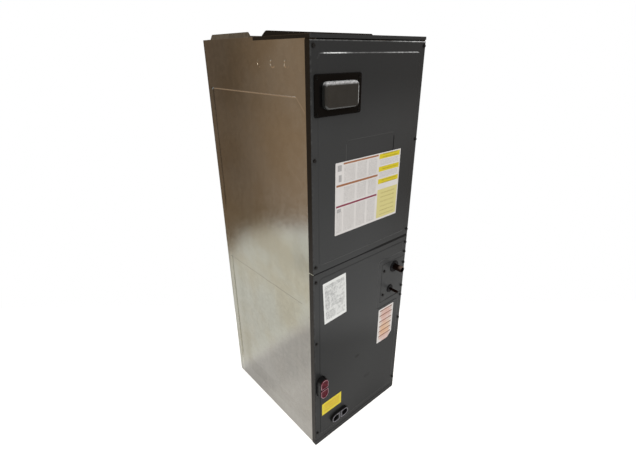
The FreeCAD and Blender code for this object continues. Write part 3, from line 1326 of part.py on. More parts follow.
def motor_mount():
    """Belly band round the motor and three arms to the housing's right side."""
    inner = around(MOTOR_RADIUS + TUBE_GAP, LARGE_SIDES)
    outer = inner + BAND_THICKNESS
    start, end = HOUSING_HALF, HOUSING_HALF + BAND_WIDTH
    centre = along_x(Vector(0, 0, 0))
    band = turned([(start, inner), (start, outer), (end, outer), (end, inner)], LARGE_SIDES, centre, True)
    seat = inner + BAND_THICKNESS / 2
    arms = []
    for i in range(ARM_COUNT):
        path = [(end, seat), (start, seat), (start, ARM_REACH)]
        arm = bent_sheet(path[::-1], lambda a, b: Vector(a, b, -ARM_WIDTH / 2), Z * ARM_WIDTH, 2 * SHEET)
        arm.rotate(Vector(0, 0, 0), X, 360.0 * i / ARM_COUNT + 90)
        arms.append(arm)
    clear = turned([(start - OVERCUT, inner), (end + OVERCUT, inner)], LARGE_SIDES, centre)
    return joined([band] + arms).cut(clear).translated(AXIS)


def capacitor_place():
    """Foot of the capacitor's axis, beside the housing's left side."""
    return Vector(-HOUSING_HALF - BAND_THICKNESS - CAPACITOR_RADIUS, OUTLET_REAR_Y - CAPACITOR_INSET,
                  CAPACITOR_Z)


def capacitor():
    """Run capacitor on the housing's left side."""
    foot = capacitor_place()
    can = prism(polygon(foot.x, foot.y, CAPACITOR_RADIUS, ROUND_SIDES), on_plan(foot.z), Z * CAPACITOR_LENGTH)
    top = foot.z + CAPACITOR_LENGTH
    half = TERMINAL_WIDTH / 2
    depth = (foot.y - SHEET / 2, foot.y + SHEET / 2)
    terminals = [box((centre - half, centre + half), depth, (top, top + TERMINAL_HEIGHT))
                 for centre in (foot.x - TERMINAL_OFFSET, foot.x + TERMINAL_OFFSET)]
    return joined([can] + terminals)


def capacitor_strap():
    """Strap round the capacitor with two feet on the housing side."""
    foot = capacitor_place()
    low = foot.z + (CAPACITOR_LENGTH - STRAP_WIDTH) / 2
    height = (low, low + STRAP_WIDTH)
    waist = around(CAPACITOR_RADIUS + TUBE_GAP, ROUND_SIDES)
    wall = waist + BAND_THICKNESS
    hoop = prism(polygon(foot.x, foot.y, wall, ROUND_SIDES), on_plan(low), Z * STRAP_WIDTH)
    bridge = box((foot.x, -HOUSING_HALF), (foot.y - wall, foot.y + wall), height)
    feet = box((-HOUSING_HALF - BAND_THICKNESS, -HOUSING_HALF),
               (foot.y - STRAP_REACH, foot.y + STRAP_REACH), height)
    hollow = prism(polygon(foot.x, foot.y, waist, ROUND_SIDES), on_plan(low - OVERCUT),
                   Z * (STRAP_WIDTH + 2 * OVERCUT))
    strap = joined([hoop, bridge, feet]).cut(hollow)
    return strap.common(box((-HALF_WIDTH, -HOUSING_HALF), (FRONT_Y, BACK_Y), height))


# Controls

def control_box():
    """Open tray hung from the deck that carries the electrical parts."""
    back = behind(BOX_BACK)
    left, right = across(BOX_LEFT), across(BOX_RIGHT)
    path = [(left, back - BOX_WALL), (left, back), (right, back), (right, back - BOX_WALL)]
    tray = bent_sheet(path[::-1], on_plan(BOX_FOOT), Z * (DECK_Z - DECK_TURN - BOX_FOOT))
    floor = box((left, right), (back - BOX_WALL, back), (BOX_FOOT, BOX_FOOT + SHEET))
    hanger_path = [(back - SHEET, BOX_FOOT), (back - SHEET, DECK_Z), (back - SHEET + BOX_TURN, DECK_Z)]
    hanger = bent_sheet(hanger_path[::-1], on_side(left + BOX_TURN), X * (right - left - 2 * BOX_TURN))
    return joined([tray, floor, hanger])


def control_board():
    """Circuit board on four posts."""
    left, right = across(BOARD_LEFT), across(BOARD_LEFT + BOARD_WIDTH)
    back = behind(BOX_BACK) - SHEET
    face = back - BOARD_STANDOFF
    board = box((left, right), (face - BOARD_SHEET, face), (BOARD_FOOT, BOARD_FOOT + BOARD_HEIGHT))
    post = BOARD_STANDOFF / 2
    posts = [box((x, x + post), (face, back), (z, z + post)) for x in (left + post, right - 2 * post)
             for z in (BOARD_FOOT + post, BOARD_FOOT + BOARD_HEIGHT - 2 * post)]
    return joined([board] + posts)


def board_relays():
    """Relays and terminal strip on the circuit board."""
    left = across(BOARD_LEFT)
    face = behind(BOX_BACK) - SHEET - BOARD_STANDOFF - BOARD_SHEET
    first = left + RELAY_MARGIN
    low = BOARD_FOOT + BOARD_HEIGHT - RELAY_MARGIN - RELAY_SIZE[2]
    starts = [first + RELAY_PITCH * i for i in range(RELAY_COUNT)]
    relays = [box((x, x + RELAY_SIZE[0]), (face - RELAY_SIZE[1], face), (low, low + RELAY_SIZE[2]))
              for x in starts]
    strip = box((first, left + BOARD_WIDTH - RELAY_MARGIN), (face - STRIP_SIZE[0], face),
                (BOARD_FOOT + RELAY_MARGIN, BOARD_FOOT + RELAY_MARGIN + STRIP_SIZE[1]))
    return Part.makeCompound(relays + [strip])


def transformer():
    """Control transformer: a laminated core with its winding through it, on two feet."""
    left = across(TRANSFORMER_LEFT)
    back = behind(BOX_BACK) - SHEET
    low = TRANSFORMER_Z
    front, rear = back - TRANSFORMER_DEPTH, back - TRANSFORMER_FOOT
    right, high = left + TRANSFORMER_WIDTH, low + TRANSFORMER_HEIGHT
    core = box((left, right), (front, rear), (low, high))
    edge = CORE_EDGE / 2
    turns = rectangle((left + CORE_EDGE, right - CORE_EDGE), (low - edge, high + edge), edge)
    winding = prism(turns, on_front(front + TRANSFORMER_FOOT), Y * (rear - front - 2 * TRANSFORMER_FOOT))
    feet = box((left - CORE_EDGE, right + CORE_EDGE), (rear, back), (low + CORE_EDGE, high - CORE_EDGE))
    return joined([core, winding, feet])


BREAKER_X = across(BREAKER_U)
BREAKER_Z = BOOT_FOOT + BOOT_HEIGHT / 2
PIVOT = Vector(BREAKER_X, behind(BREAKER_FACE + HANDLE_PIVOT), BREAKER_Z)


def circuit_breaker():
    """Breaker body with a slot for the handle and sockets for its pins."""
    face = behind(BREAKER_FACE)
    half = BREAKER_WIDTH / 2
    body = box((BREAKER_X - half, BREAKER_X + half), (face, face + BREAKER_DEPTH),
               (BREAKER_Z - BREAKER_HEIGHT / 2, BREAKER_Z + BREAKER_HEIGHT / 2))
    slot_half = HANDLE_REACH * math.sin(math.radians(HANDLE_SWING)) + HANDLE_WIDTH
    tall = HANDLE_HEIGHT / 2 + CLEAR_GAP
    slot = box((BREAKER_X - slot_half, BREAKER_X + slot_half),
               (face - OVERCUT, PIVOT.y + HANDLE_HUB + CLEAR_GAP), (BREAKER_Z - tall, BREAKER_Z + tall))
    reach = tall + HANDLE_PIN_LENGTH
    rim = polygon(PIVOT.x, PIVOT.y, around(HANDLE_PIN + RUNNING_GAP, SMALL_SIDES), SMALL_SIDES)
    socket = prism(rim, on_plan(PIVOT.z - reach), Z * (2 * reach))
    return body.cut(slot).cut(socket)


def breaker_bracket():
    """Hat bracket between the breaker and the control box."""
    face = behind(BREAKER_FACE) + BREAKER_DEPTH
    back = behind(BOX_BACK) - SHEET
    half = BREAKER_WIDTH / 2 - BOX_TURN
    wide = half + BOX_TURN
    foot = back - SHEET
    path = [(BREAKER_X - wide, foot), (BREAKER_X - half, foot), (BREAKER_X - half, face),
            (BREAKER_X + half, face), (BREAKER_X + half, foot), (BREAKER_X + wide, foot)]
    return bent_sheet(path, on_plan(BREAKER_Z - BREAKER_HEIGHT / 2), Z * BREAKER_HEIGHT)


def breaker_handle():
    """Tied handle of the breaker, modelled in its on position."""
    half = HANDLE_HEIGHT / 2
    reach = half + HANDLE_PIN_LENGTH
    hub = prism(polygon(0, 0, HANDLE_HUB, SMALL_SIDES), on_plan(-half), Z * HANDLE_HEIGHT)
    pins = prism(polygon(0, 0, HANDLE_PIN, SMALL_SIDES), on_plan(-reach), Z * (2 * reach))
    root, tip = HANDLE_WIDTH / 2, HANDLE_WIDTH / 3
    profile = [(-root, 0, 0), (-tip, -HANDLE_REACH, HANDLE_EDGE),
               (tip, -HANDLE_REACH, HANDLE_EDGE), (root, 0, 0)]
    paddle = prism(profile, on_plan(-half), Z * HANDLE_HEIGHT)
    handle = joined([hub, pins, paddle])
    handle.rotate(Vector(0, 0, 0), Z, -HANDLE_SWING)
    return handle.translated(PIVOT)


NODES = {
    "left_side_panel": left_side_panel,
    "right_side_panel": right_side_panel,
    "back_panel": back_panel,
    "base_pan": base_pan,
    "base_rail": base_rail,
    "top_cap": top_cap,
    "supply_flange_left": supply_flange_left,
    "supply_flange_right": supply_flange_right,
    "supply_flange_back": supply_flange_back,
    "seam_rail": seam_rail,
    "pan_rails": lambda: Part.makeCompound([pan_rail(), mirrored(pan_rail())]),
    "insulation_left": side_board,
    "insulation_right": lambda: mirrored(side_board()),
    "insulation_back": back_board,
    "upper_access_panel": upper_access_panel,
    "upper_panel_insulation": upper_panel_liner,
    "upper_panel_screws": lambda: screw_group(UPPER_SCREW_PLACES, FRONT_Y),
    "breaker_cover": breaker_cover,
    "breaker_boot": breaker_boot,
    "lower_access_panel": lower_access_panel,
    "lower_panel_insulation": lower_panel_liner,
    "lower_panel_screws": lambda: screw_group(LOWER_SCREW_PLACES, FRONT_Y),
    "tubing_plate": tubing_plate,
    "tubing_plate_screws": lambda: screw_group(PLATE_SCREW_PLACES, FRONT_Y),
    "tubing_bracket": tubing_bracket,
    "suction_grommet": lambda: grommet(SUCTION_X, SUCTION_Z, SUCTION_RADIUS),
    "liquid_grommet": lambda: grommet(LIQUID_X, LIQUID_Z, LIQUID_RADIUS),
    "suction_line": suction_line,
    "suction_header": suction_header,
    "liquid_line": liquid_line,
    "metering_body": metering_body,
    "feeder_tubes": feeder_tubes,
    "drain_pan": drain_pan,
    "side_drain_pan": side_drain_pan,
    "drain_plugs": drain_plugs,
    "coil_slab_left": lambda: mirrored(coil_slab()),
    "coil_slab_right": coil_slab,
    "coil_end_plates": coil_end_plates,
    "return_bends_front": return_bends_front,
    "return_bends_back": return_bends_back,
    "coil_baffles": coil_baffles,
    "coil_cap": coil_cap,
    "blower_deck": blower_deck,
    "blower_scroll": blower_scroll,
    "blower_side_left": blower_side,
    "blower_side_right": lambda: mirrored(blower_side()),
    "blower_wheel": blower_wheel,
    "wheel_hub": wheel_hub,
    "motor_shaft": motor_shaft,
    "motor": motor,
    "motor_mount": motor_mount,
    "capacitor": capacitor,
    "capacitor_strap": capacitor_strap,
    "control_box": control_box,
    "control_board": control_board,
    "board_relays": board_relays,
    "transformer": transformer,
    "circuit_breaker": circuit_breaker,
    "breaker_bracket": breaker_bracket,
    "breaker_handle": breaker_handle,
}


def main():
    os.makedirs("parts", exist_ok=True)
    for name, make in NODES.items():
        make().exportStep(os.path.join("parts", name + ".step"))


main()
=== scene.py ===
import json
import math

import bpy
from mathutils import Matrix, Vector


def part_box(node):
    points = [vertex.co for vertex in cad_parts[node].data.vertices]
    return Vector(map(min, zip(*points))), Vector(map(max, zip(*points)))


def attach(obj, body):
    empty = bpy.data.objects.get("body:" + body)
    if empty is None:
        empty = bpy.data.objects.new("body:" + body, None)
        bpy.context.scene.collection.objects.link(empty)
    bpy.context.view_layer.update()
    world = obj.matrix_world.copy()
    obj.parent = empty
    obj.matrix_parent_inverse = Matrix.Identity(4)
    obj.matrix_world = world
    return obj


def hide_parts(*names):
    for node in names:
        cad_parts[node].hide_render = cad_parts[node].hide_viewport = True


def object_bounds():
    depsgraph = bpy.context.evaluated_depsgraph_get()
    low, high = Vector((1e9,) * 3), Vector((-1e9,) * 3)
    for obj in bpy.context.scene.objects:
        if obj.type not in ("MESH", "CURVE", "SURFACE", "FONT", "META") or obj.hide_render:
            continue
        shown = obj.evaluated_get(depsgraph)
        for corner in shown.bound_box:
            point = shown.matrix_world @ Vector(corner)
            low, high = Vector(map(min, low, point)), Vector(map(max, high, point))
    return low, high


bl_info = {
    "name": "Air handler dressing",
    "version": (1, 0, 0),
    "blender": (4, 5, 0),
    "location": "3D View > Sidebar > Air handler",
    "description": "Finishes, fittings, labels and studio for an upright air handler",
    "category": "Object",
}

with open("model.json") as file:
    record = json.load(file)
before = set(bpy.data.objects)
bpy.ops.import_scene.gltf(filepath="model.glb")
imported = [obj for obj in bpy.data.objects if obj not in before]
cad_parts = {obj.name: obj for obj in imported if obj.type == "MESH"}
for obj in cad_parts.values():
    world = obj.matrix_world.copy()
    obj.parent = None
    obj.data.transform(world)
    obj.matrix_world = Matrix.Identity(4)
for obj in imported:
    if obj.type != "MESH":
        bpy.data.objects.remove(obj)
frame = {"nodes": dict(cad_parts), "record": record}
CAD_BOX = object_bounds()

# Places read from the frame, in metres
PANEL_LOW, PANEL_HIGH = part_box("upper_access_panel")
LOWER_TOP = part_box("lower_access_panel")[1].z
COVER_LOW, COVER_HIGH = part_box("breaker_cover")
BOOT_LOW, BOOT_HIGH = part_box("breaker_boot")
PLATE_LOW, PLATE_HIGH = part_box("tubing_plate")
SIDE_LOW, SIDE_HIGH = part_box("left_side_panel")
SUCTION_LOW, SUCTION_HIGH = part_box("suction_grommet")
SUCTION_Z = (SUCTION_LOW.z + SUCTION_HIGH.z) / 2
LEFT = PANEL_LOW.x
RIGHT = PANEL_HIGH.x
FIELD_Y = PANEL_LOW.y
SHEET_Y = PLATE_LOW.y
SIDE_X = -SIDE_LOW.x


# Sizes and colours a user may change

class AirHandlerSizes(bpy.types.PropertyGroup):
    """Sizes of the pieces that are added to the frame, in metres."""
    screw_inset: bpy.props.FloatProperty(
        name="Screw inset", description="From a panel's edge to its screws",
        default=0.009, unit="LENGTH")
    screw_flat: bpy.props.FloatProperty(
        name="Screw head", description="Width of a screw's hexagon across its corners",
        default=0.0092, unit="LENGTH")
    screw_washer: bpy.props.FloatProperty(
        name="Screw washer", description="Radius of the washer under a screw's hexagon",
        default=0.0056, unit="LENGTH")
    screw_rise: bpy.props.FloatProperty(
        name="Screw rise", description="Height of a screw's head above the panel",
        default=0.0045, unit="LENGTH")
    boot_round: bpy.props.FloatProperty(
        name="Boot crown", description="Rounding of the breaker boot's front edges",
        default=0.006, unit="LENGTH")
    boot_corner: bpy.props.FloatProperty(
        name="Boot corner", description="Rounding of the breaker boot's upright edges",
        default=0.014, unit="LENGTH")
    rivet_inset: bpy.props.FloatProperty(
        name="Rivet inset", description="From the breaker cover's edge to its rivets",
        default=0.009, unit="LENGTH")
    rivet_radius: bpy.props.FloatProperty(
        name="Rivet radius", description="Radius of a rivet's head",
        default=0.0042, unit="LENGTH")
    label_thickness: bpy.props.FloatProperty(
        name="Label thickness", description="Thickness of a label",
        default=0.0003, unit="LENGTH")
    main_label: bpy.props.FloatVectorProperty(
        name="Main label",
        description="Left, foot, width and height, from the panels' left edge and the floor",
        default=(0.083, 0.838, 0.281, 0.218), size=4, unit="LENGTH")
    data_label: bpy.props.FloatVectorProperty(
        name="Data label", description="Left, foot, width and height",
        default=(0.0389, 0.5384, 0.0984, 0.1542), size=4, unit="LENGTH")
    data_tilt: bpy.props.FloatProperty(
        name="Data label tilt", description="How far the data label was stuck on askew",
        default=math.radians(2.8), subtype="ANGLE")
    striped_label: bpy.props.FloatVectorProperty(
        name="Striped label", description="Left, foot, width and height",
        default=(0.312, 0.307, 0.084, 0.156), size=4, unit="LENGTH")
    small_label: bpy.props.FloatVectorProperty(
        name="Small label", description="Left, foot, width and height",
        default=(0.030, 0.133, 0.095, 0.055), size=4, unit="LENGTH")
    floor_radius: bpy.props.FloatProperty(
        name="Floor radius", description="How far the pale floor reaches",
        default=2.6, unit="LENGTH")
    camera_place: bpy.props.FloatVectorProperty(
        name="Camera place", description="Where the camera stands",
        default=(-0.8617, -1.0141, 1.3282), size=3, subtype="XYZ", unit="LENGTH")
    camera_turn: bpy.props.FloatProperty(
        name="Camera turn", description="Heading of the camera from the front's normal",
        default=math.radians(40.691), subtype="ANGLE")
    camera_pitch: bpy.props.FloatProperty(
        name="Camera pitch", description="How far the camera looks down",
        default=math.radians(25.235), subtype="ANGLE")
    camera_roll: bpy.props.FloatProperty(
        name="Camera roll", description="Roll of the camera",
        default=math.radians(-0.502), subtype="ANGLE")
    camera_lens: bpy.props.FloatProperty(
        name="Camera lens", description="Focal length on a sensor 36 mm wide, in millimetres",
        default=22.192, unit="CAMERA")


class AirHandlerColours(bpy.types.PropertyGroup):
    """Colours of the finishes, as linear values."""
    paint: bpy.props.FloatVectorProperty(
        name="Paint", description="Front panels, cap and foot rail",
        default=(0.0255, 0.026, 0.0262), size=3, subtype="COLOR")
    zinc: bpy.props.FloatVectorProperty(
        name="Zinc", description="Galvanised sheet",
        default=(0.366, 0.373, 0.322), size=3, subtype="COLOR")
    black: bpy.props.FloatVectorProperty(
        name="Black", description="Rubber grommets and seals",
        default=(0.008, 0.008, 0.009), size=3, subtype="COLOR")
    boot: bpy.props.FloatVectorProperty(
        name="Boot", description="Smoky breaker boot",
        default=(0.022, 0.023, 0.022), size=3, subtype="COLOR")
    copper: bpy.props.FloatVectorProperty(
        name="Copper", description="Refrigerant tubes",
        default=(0.62, 0.29, 0.19), size=3, subtype="COLOR")
    plug: bpy.props.FloatVectorProperty(
        name="Plug", description="Drain plugs",
        default=(0.12, 0.006, 0.016), size=3, subtype="COLOR")
    paper: bpy.props.FloatVectorProperty(
        name="Paper", description="Label stock",
        default=(0.62, 0.595, 0.575), size=3, subtype="COLOR")
    orange: bpy.props.FloatVectorProperty(
        name="Orange", description="Orange label bars",
        default=(0.31, 0.135, 0.065), size=3, subtype="COLOR")
    red: bpy.props.FloatVectorProperty(
        name="Red", description="Red label bar",
        default=(0.22, 0.035, 0.065), size=3, subtype="COLOR")
    yellow: bpy.props.FloatVectorProperty(
        name="Yellow", description="Yellow label fields",
        default=(0.60, 0.49, 0.020), size=3, subtype="COLOR")


def sizes():
    return bpy.context.scene.air_handler_sizes


def colours():
    return bpy.context.scene.air_handler_colours


# Shader maths

class Value:
    """A shader value that adds Math nodes as it is reckoned with."""

    def __init__(self, finish, socket):
        self.finish = finish
        self.socket = socket

    def reckon(self, operation, *terms):
        node = self.finish.node("ShaderNodeMath", {"operation": operation})
        for socket, term in zip(node.inputs, terms):
            self.finish.feed(socket, term)
        return Value(self.finish, node.outputs[0])

    def __add__(self, other):
        return self.reckon("ADD", self, other)

    def __radd__(self, other):
        return self.reckon("ADD", other, self)

    def __sub__(self, other):
        return self.reckon("SUBTRACT", self, other)

    def __rsub__(self, other):
        return self.reckon("SUBTRACT", other, self)

    def __mul__(self, other):
        return self.reckon("MULTIPLY", self, other)

    def __rmul__(self, other):
        return self.reckon("MULTIPLY", other, self)

    def __truediv__(self, other):
        return self.reckon("DIVIDE", self, other)

    def __gt__(self, other):
        return self.reckon("GREATER_THAN", self, other)

    def __lt__(self, other):
        return self.reckon("LESS_THAN", self, other)

    def __abs__(self):
        return self.reckon("ABSOLUTE", self)

    def root(self):
        return self.reckon("SQRT", self)

    def fraction(self):
        return self.reckon("FRACT", self)

    def least(self, other):
        return self.reckon("MINIMUM", self, other)

    def greatest(self, other):
        return self.reckon("MAXIMUM", self, other)

    def between(self, low, high):
        return (self > low) * (self < high)

    def fade(self, low, high):
        """0 at low, 1 at high, smooth between."""
        node = self.finish.node("ShaderNodeMapRange", {"interpolation_type": "SMOOTHSTEP"},
                                {"Value": self, "From Min": low, "From Max": high})
        return Value(self.finish, node.outputs["Result"])


class Finish:
    """One procedural material, built round a Principled shader on Object coordinates."""

    def __init__(self, name):
        self.material = bpy.data.materials.new(name)
        self.material.use_nodes = True
        self.tree = self.material.node_tree
        self.tree.nodes.clear()
        self.shader = self.node("ShaderNodeBsdfPrincipled")
        self.output = self.node("ShaderNodeOutputMaterial", {}, {"Surface": self.shader.outputs["BSDF"]})
        self.place = self.node("ShaderNodeTexCoord").outputs["Object"]
        parts = self.node("ShaderNodeSeparateXYZ", {}, {"Vector": self.place})
        self.x, self.y, self.z = [Value(self, parts.outputs[axis]) for axis in "XYZ"]

    def feed(self, socket, term):
        """Link a value or socket to a socket, or set a number or colour on it."""
        if isinstance(term, Value):
            term = term.socket
        if isinstance(term, bpy.types.NodeSocket):
            self.tree.links.new(term, socket)
        elif socket.type == "RGBA" and len(term) == 3:
            socket.default_value = (*term, 1.0)
        else:
            socket.default_value = term

    def node(self, kind, settings=None, sockets=None):
        """Add a node, with its settings by name and its sockets by name or number."""
        node = self.tree.nodes.new(kind)
        for name, setting in (settings or {}).items():
            setattr(node, name, setting)
        for name, term in (sockets or {}).items():
            self.feed(node.inputs[name], term)
        return node

    def stretched(self, x, y, z):
        """Object coordinates scaled along each axis."""
        node = self.node("ShaderNodeMapping", {}, {"Vector": self.place, "Scale": (x, y, z)})
        return node.outputs["Vector"]

    def noise(self, scale, detail, place=None):
        sockets = {"Vector": place or self.place, "Scale": scale, "Detail": detail}
        return Value(self, self.node("ShaderNodeTexNoise", {}, sockets).outputs["Fac"])

    def spangle(self, scale):
        """A value that differs from one crystal to the next."""
        cells = self.node("ShaderNodeTexVoronoi", {"feature": "F1"}, {"Vector": self.place, "Scale": scale})
        parts = self.node("ShaderNodeSeparateColor", {}, {"Color": cells.outputs["Color"]})
        return Value(self, parts.outputs[0])

    def mixed(self, factor, first, second):
        """A colour between two, by a factor."""
        node = self.node("ShaderNodeMix", {"data_type": "RGBA", "clamp_factor": True}, {"Factor": factor})
        for socket, colour in zip([s for s in node.inputs if s.type == "RGBA"], (first, second)):
            self.feed(socket, colour)
        return [s for s in node.outputs if s.type == "RGBA"][0]

    def shaded(self, colour, factor):
        """A colour made darker or lighter by a value round 1."""
        node = self.node("ShaderNodeVectorMath", {"operation": "SCALE"}, {0: colour, "Scale": factor})
        return node.outputs[0]

    def tinted(self, colour, tint):
        """A colour times another, channel by channel."""
        node = self.node("ShaderNodeVectorMath", {"operation": "MULTIPLY"}, {0: colour, 1: tint})
        return node.outputs[0]

    def bump(self, height, distance):
        sockets = {"Height": height, "Distance": distance, "Strength": 1.0}
        self.set(Normal=self.node("ShaderNodeBump", {}, sockets).outputs["Normal"])

    def set(self, **terms):
        """Set or link the shader's own sockets, named with underscores for spaces."""
        for name, term in terms.items():
            self.feed(self.shader.inputs[name.replace("_", " ")], term)
        return self.material


# Galvanised sheet

# Pressed fields and knockouts of the sides
FIELD_FRONT = SHEET_Y + 0.028
FIELD_REAR = SIDE_HIGH.y - 0.022
FIELD_CORNER = 0.033
FIELD_LINE = (0.0004, 0.0046)
SUNK_RANGE = (-0.0005, 0.0035)
LOWER_FIELD_TOP = 0.604
UPPER_FIELD_TOP = 1.230
KNOCKOUT_ROW = (SHEET_Y + 0.094, SHEET_Y + 0.155, SHEET_Y + 0.216)
KNOCKOUT_Z = 1.305
KNOCKOUT_RIM = (0.0080, 0.0112)
# Height that the painted dim reflection at the foot of the left side loses per metre towards the back
FOOT_SLOPE = 1.07

SMUDGE_TINT = (0.93, 0.88, 0.80)
# Painted reflection: tints for the left side's dim foot, the low sheet and the bluer top
FOOT_REFLECTION_TINT = (0.90, 0.855, 0.93)
LOW_REFLECTION_TINT = (1.0, 0.98, 0.97)
HIGH_REFLECTION_TINT = (1.06, 1.08, 1.22)
# Painted highlight line and painted crease shadow along the pressed fields
EDGE_HIGHLIGHT_LINE = (0.88, 0.88, 0.85)
CREASE_SHADOW = (0.030, 0.028, 0.024)
# Painted glint on the knockouts' rims
RIM_GLINT = (0.95, 0.90, 0.80)
# Painted reflection: darker, bluer zinc for the flanges above the cabinet
DIM_FLANGE_REFLECTION = (0.27, 0.315, 0.345)


def field_edge(finish, top):
    """A line just inside the top edge and the front corner of a side's pressed field."""
    down = top - finish.z
    corner = (down + (finish.y - FIELD_FRONT) - FIELD_CORNER) * math.sqrt(0.5)
    line = down.least(corner).between(*FIELD_LINE) * (down < FIELD_CORNER + 0.004)
    return line * (finish.y < FIELD_REAR) * (abs(finish.x) > SIDE_X - 0.005)


def sunk_below(place, face):
    """How far a place lies inside an outer face, within a pressed field's depth."""
    inside = face - place
    return inside.between(*SUNK_RANGE) * inside.greatest(0.0)


def knockout_glint(finish, y):
    """A painted glint: a ragged crescent along the rim of a knockout."""
    across = finish.y - y
    up = finish.z - KNOCKOUT_Z
    away = (across * across + up * up).root()
    glint_breaks = finish.noise(140.0, 3.0).fade(0.42, 0.60)
    return away.between(*KNOCKOUT_RIM) * (up < across * 0.8) * glint_breaks * (abs(finish.x) > SIDE_X - 0.002)


def times(colour, tint):
    return [channel * share for channel, share in zip(colour, tint)]


def zinc_sheet(finish, grain, smudge):
    """Plain sheet with rolling streaks and smudges, and painted reflection: lighter towards the front and
    higher up, bluer at the top, darker in zones on the left side.
    """
    y, z = finish.y, finish.z
    tone = colours().zinc
    streak = finish.noise(1.0, 3.0, finish.stretched(60.0, 60.0, 2.2))
    cloud = finish.noise(3.4, 3.0).fade(0.30, 0.60)
    on_left = finish.x < 0.0
    # Painted reflection and shade on the left side: a dim diagonal foot with clouds, a band above it, and
    # darker knee and shin zones
    slant = z + FOOT_SLOPE * y
    foot = slant.fade(0.37, 0.27) * on_left
    band = slant.fade(0.33, 0.26) * slant.fade(0.04, 0.16)
    knee = y.fade(-0.10, -0.20) * z.fade(0.68, 0.77) * z.fade(0.92, 0.85)
    shin = z.fade(0.62, 0.44) * slant.fade(0.30, 0.42)
    painted_dimming = foot * (0.04 + 0.08 * cloud) + (0.15 * band + 0.20 * knee + 0.09 * shin) * on_left
    # Painted reflection: lighter towards the front, most of all high up; lighter above the middle and a
    # little darker at the very top
    reflection_sweep = (y.fade(0.20, -0.22) - 0.5) * (0.05 + 0.85 * z.fade(0.72, 1.00))
    height = 0.27 * z.fade(0.72, 0.95) - 0.14 * z.fade(1.10, 1.25)
    colour = finish.mixed(smudge.fade(0.38, 0.66), tone, times(tone, SMUDGE_TINT))
    # Painted reflection: a purple-grey tint on the left side's foot
    colour = finish.mixed(foot * 0.8, colour, times(tone, FOOT_REFLECTION_TINT))
    colour = finish.shaded(colour, 0.80 + 0.08 * grain + 0.08 * streak - painted_dimming + reflection_sweep + height)
    # Painted reflection: bluer towards the top
    return finish.tinted(colour, finish.mixed(z.fade(0.78, 0.95), LOW_REFLECTION_TINT, HIGH_REFLECTION_TINT))


def pressed_lines(finish, colour):
    """Painted light and shade along the sides' pressed fields: a highlight line and a darkened corner at the
    upper field's top, a shadow line at the lower field's top and a lighter rear wall.
    """
    y, z = finish.y, finish.z
    # Painted highlight along the upper field's top edge
    pale = field_edge(finish, UPPER_FIELD_TOP) * (y < FIELD_REAR - 0.007)
    colour = finish.mixed(pale * 0.7, colour, EDGE_HIGHLIGHT_LINE)
    # Painted shade on the upper field's rear top corner
    corner = z.between(UPPER_FIELD_TOP - 0.005, UPPER_FIELD_TOP + 0.0005)
    corner = corner * y.between(FIELD_REAR - 0.005, FIELD_REAR + 0.003)
    colour = finish.shaded(colour, 1.0 - 0.7 * corner)
    # Painted shadow along the lower field's top edge
    colour = finish.mixed(field_edge(finish, LOWER_FIELD_TOP) * 0.85, colour, CREASE_SHADOW)
    # Painted light on the lower field's rear wall
    lit_rear_wall = y.between(FIELD_REAR - 0.0035, FIELD_REAR + 0.0012) * (z < LOWER_FIELD_TOP + 0.016)
    return finish.shaded(colour, 1.0 + 0.4 * lit_rear_wall)


def zinc_finish():
    """Galvanised sheet: spangle, faint rolling streaks, handling smudges, and painted reflection, shade,
    highlight lines and glints.
    """
    finish = Finish("galvanised_sheet")
    x, y, z = finish.x, finish.y, finish.z
    grain = finish.spangle(75.0)
    fine = finish.noise(420.0, 3.0)
    smudge = finish.noise(5.5, 4.0)
    colour = pressed_lines(finish, zinc_sheet(finish, grain, smudge))
    # Painted shade: the zinc above the panels' top edge at the front, under the cap, is darkened almost to
    # black
    lip_shade = (z > PANEL_HIGH.z - 0.0003) * (y < PANEL_HIGH.y)
    colour = finish.shaded(colour, 1.0 - 0.93 * lip_shade)
    # Painted highlights: glints on the knockouts' rims
    glints = sum(knockout_glint(finish, row) for row in KNOCKOUT_ROW)
    colour = finish.mixed(glints * 0.7, colour, RIM_GLINT)
    # Painted reflection: darker, bluer zinc on the flanges above the cabinet
    above = z > SIDE_HIGH.z + 0.0005
    colour = finish.mixed(above, colour, finish.shaded(DIM_FLANGE_REFLECTION, 0.85 + 0.3 * grain))
    # The bump levels the fields with the faces round them, where their edges don't show
    sunk = sunk_below(abs(x), SIDE_X) + sunk_below(y, SIDE_HIGH.y)
    rear = y.fade(FIELD_REAR - 0.09, FIELD_REAR - 0.03) * (z < LOWER_FIELD_TOP + 0.056)
    run_out = sunk * (z.fade(1.15, 0.85) * (z > 0.70) + rear)
    finish.bump((0.2 * grain + 0.4 * fine) * 0.0001 + run_out, 1.0)
    roughness = 0.13 + 0.04 * grain + 0.07 * smudge + 0.03 * fine
    return finish.set(Base_Color=colour, Roughness=roughness, Metallic=1.0)


# Dark paint

# Top edge of the upper panel's raised field
PANEL_EDGE = PANEL_HIGH.z - 0.027
# Recess above the main label
RECESS_LEFT = LEFT + 0.123
RECESS_RIGHT = LEFT + 0.328
RECESS_TOP = PANEL_HIGH.z - 0.2443
# Place across, height and reach of each scuff
SCUFFS = ((-0.018, 0.311, 0.016), (0.041, 0.178, 0.019))

RUBBED_PAINT = (0.16, 0.16, 0.155)
SCUFF_BLACK = (0.006, 0.006, 0.006)
EDGE_GLINT = (0.80, 0.80, 0.79)
LIT_WALL = (0.085, 0.086, 0.086)
DIM_WALL = (0.008, 0.008, 0.008)
# Painted shadow in the gaps
GAP_SHADOW = (0.001, 0.001, 0.001)
# Painted warm reflection: a darker brown for faces off the front
WARM_REFLECTION_PAINT = (0.018, 0.014, 0.010)


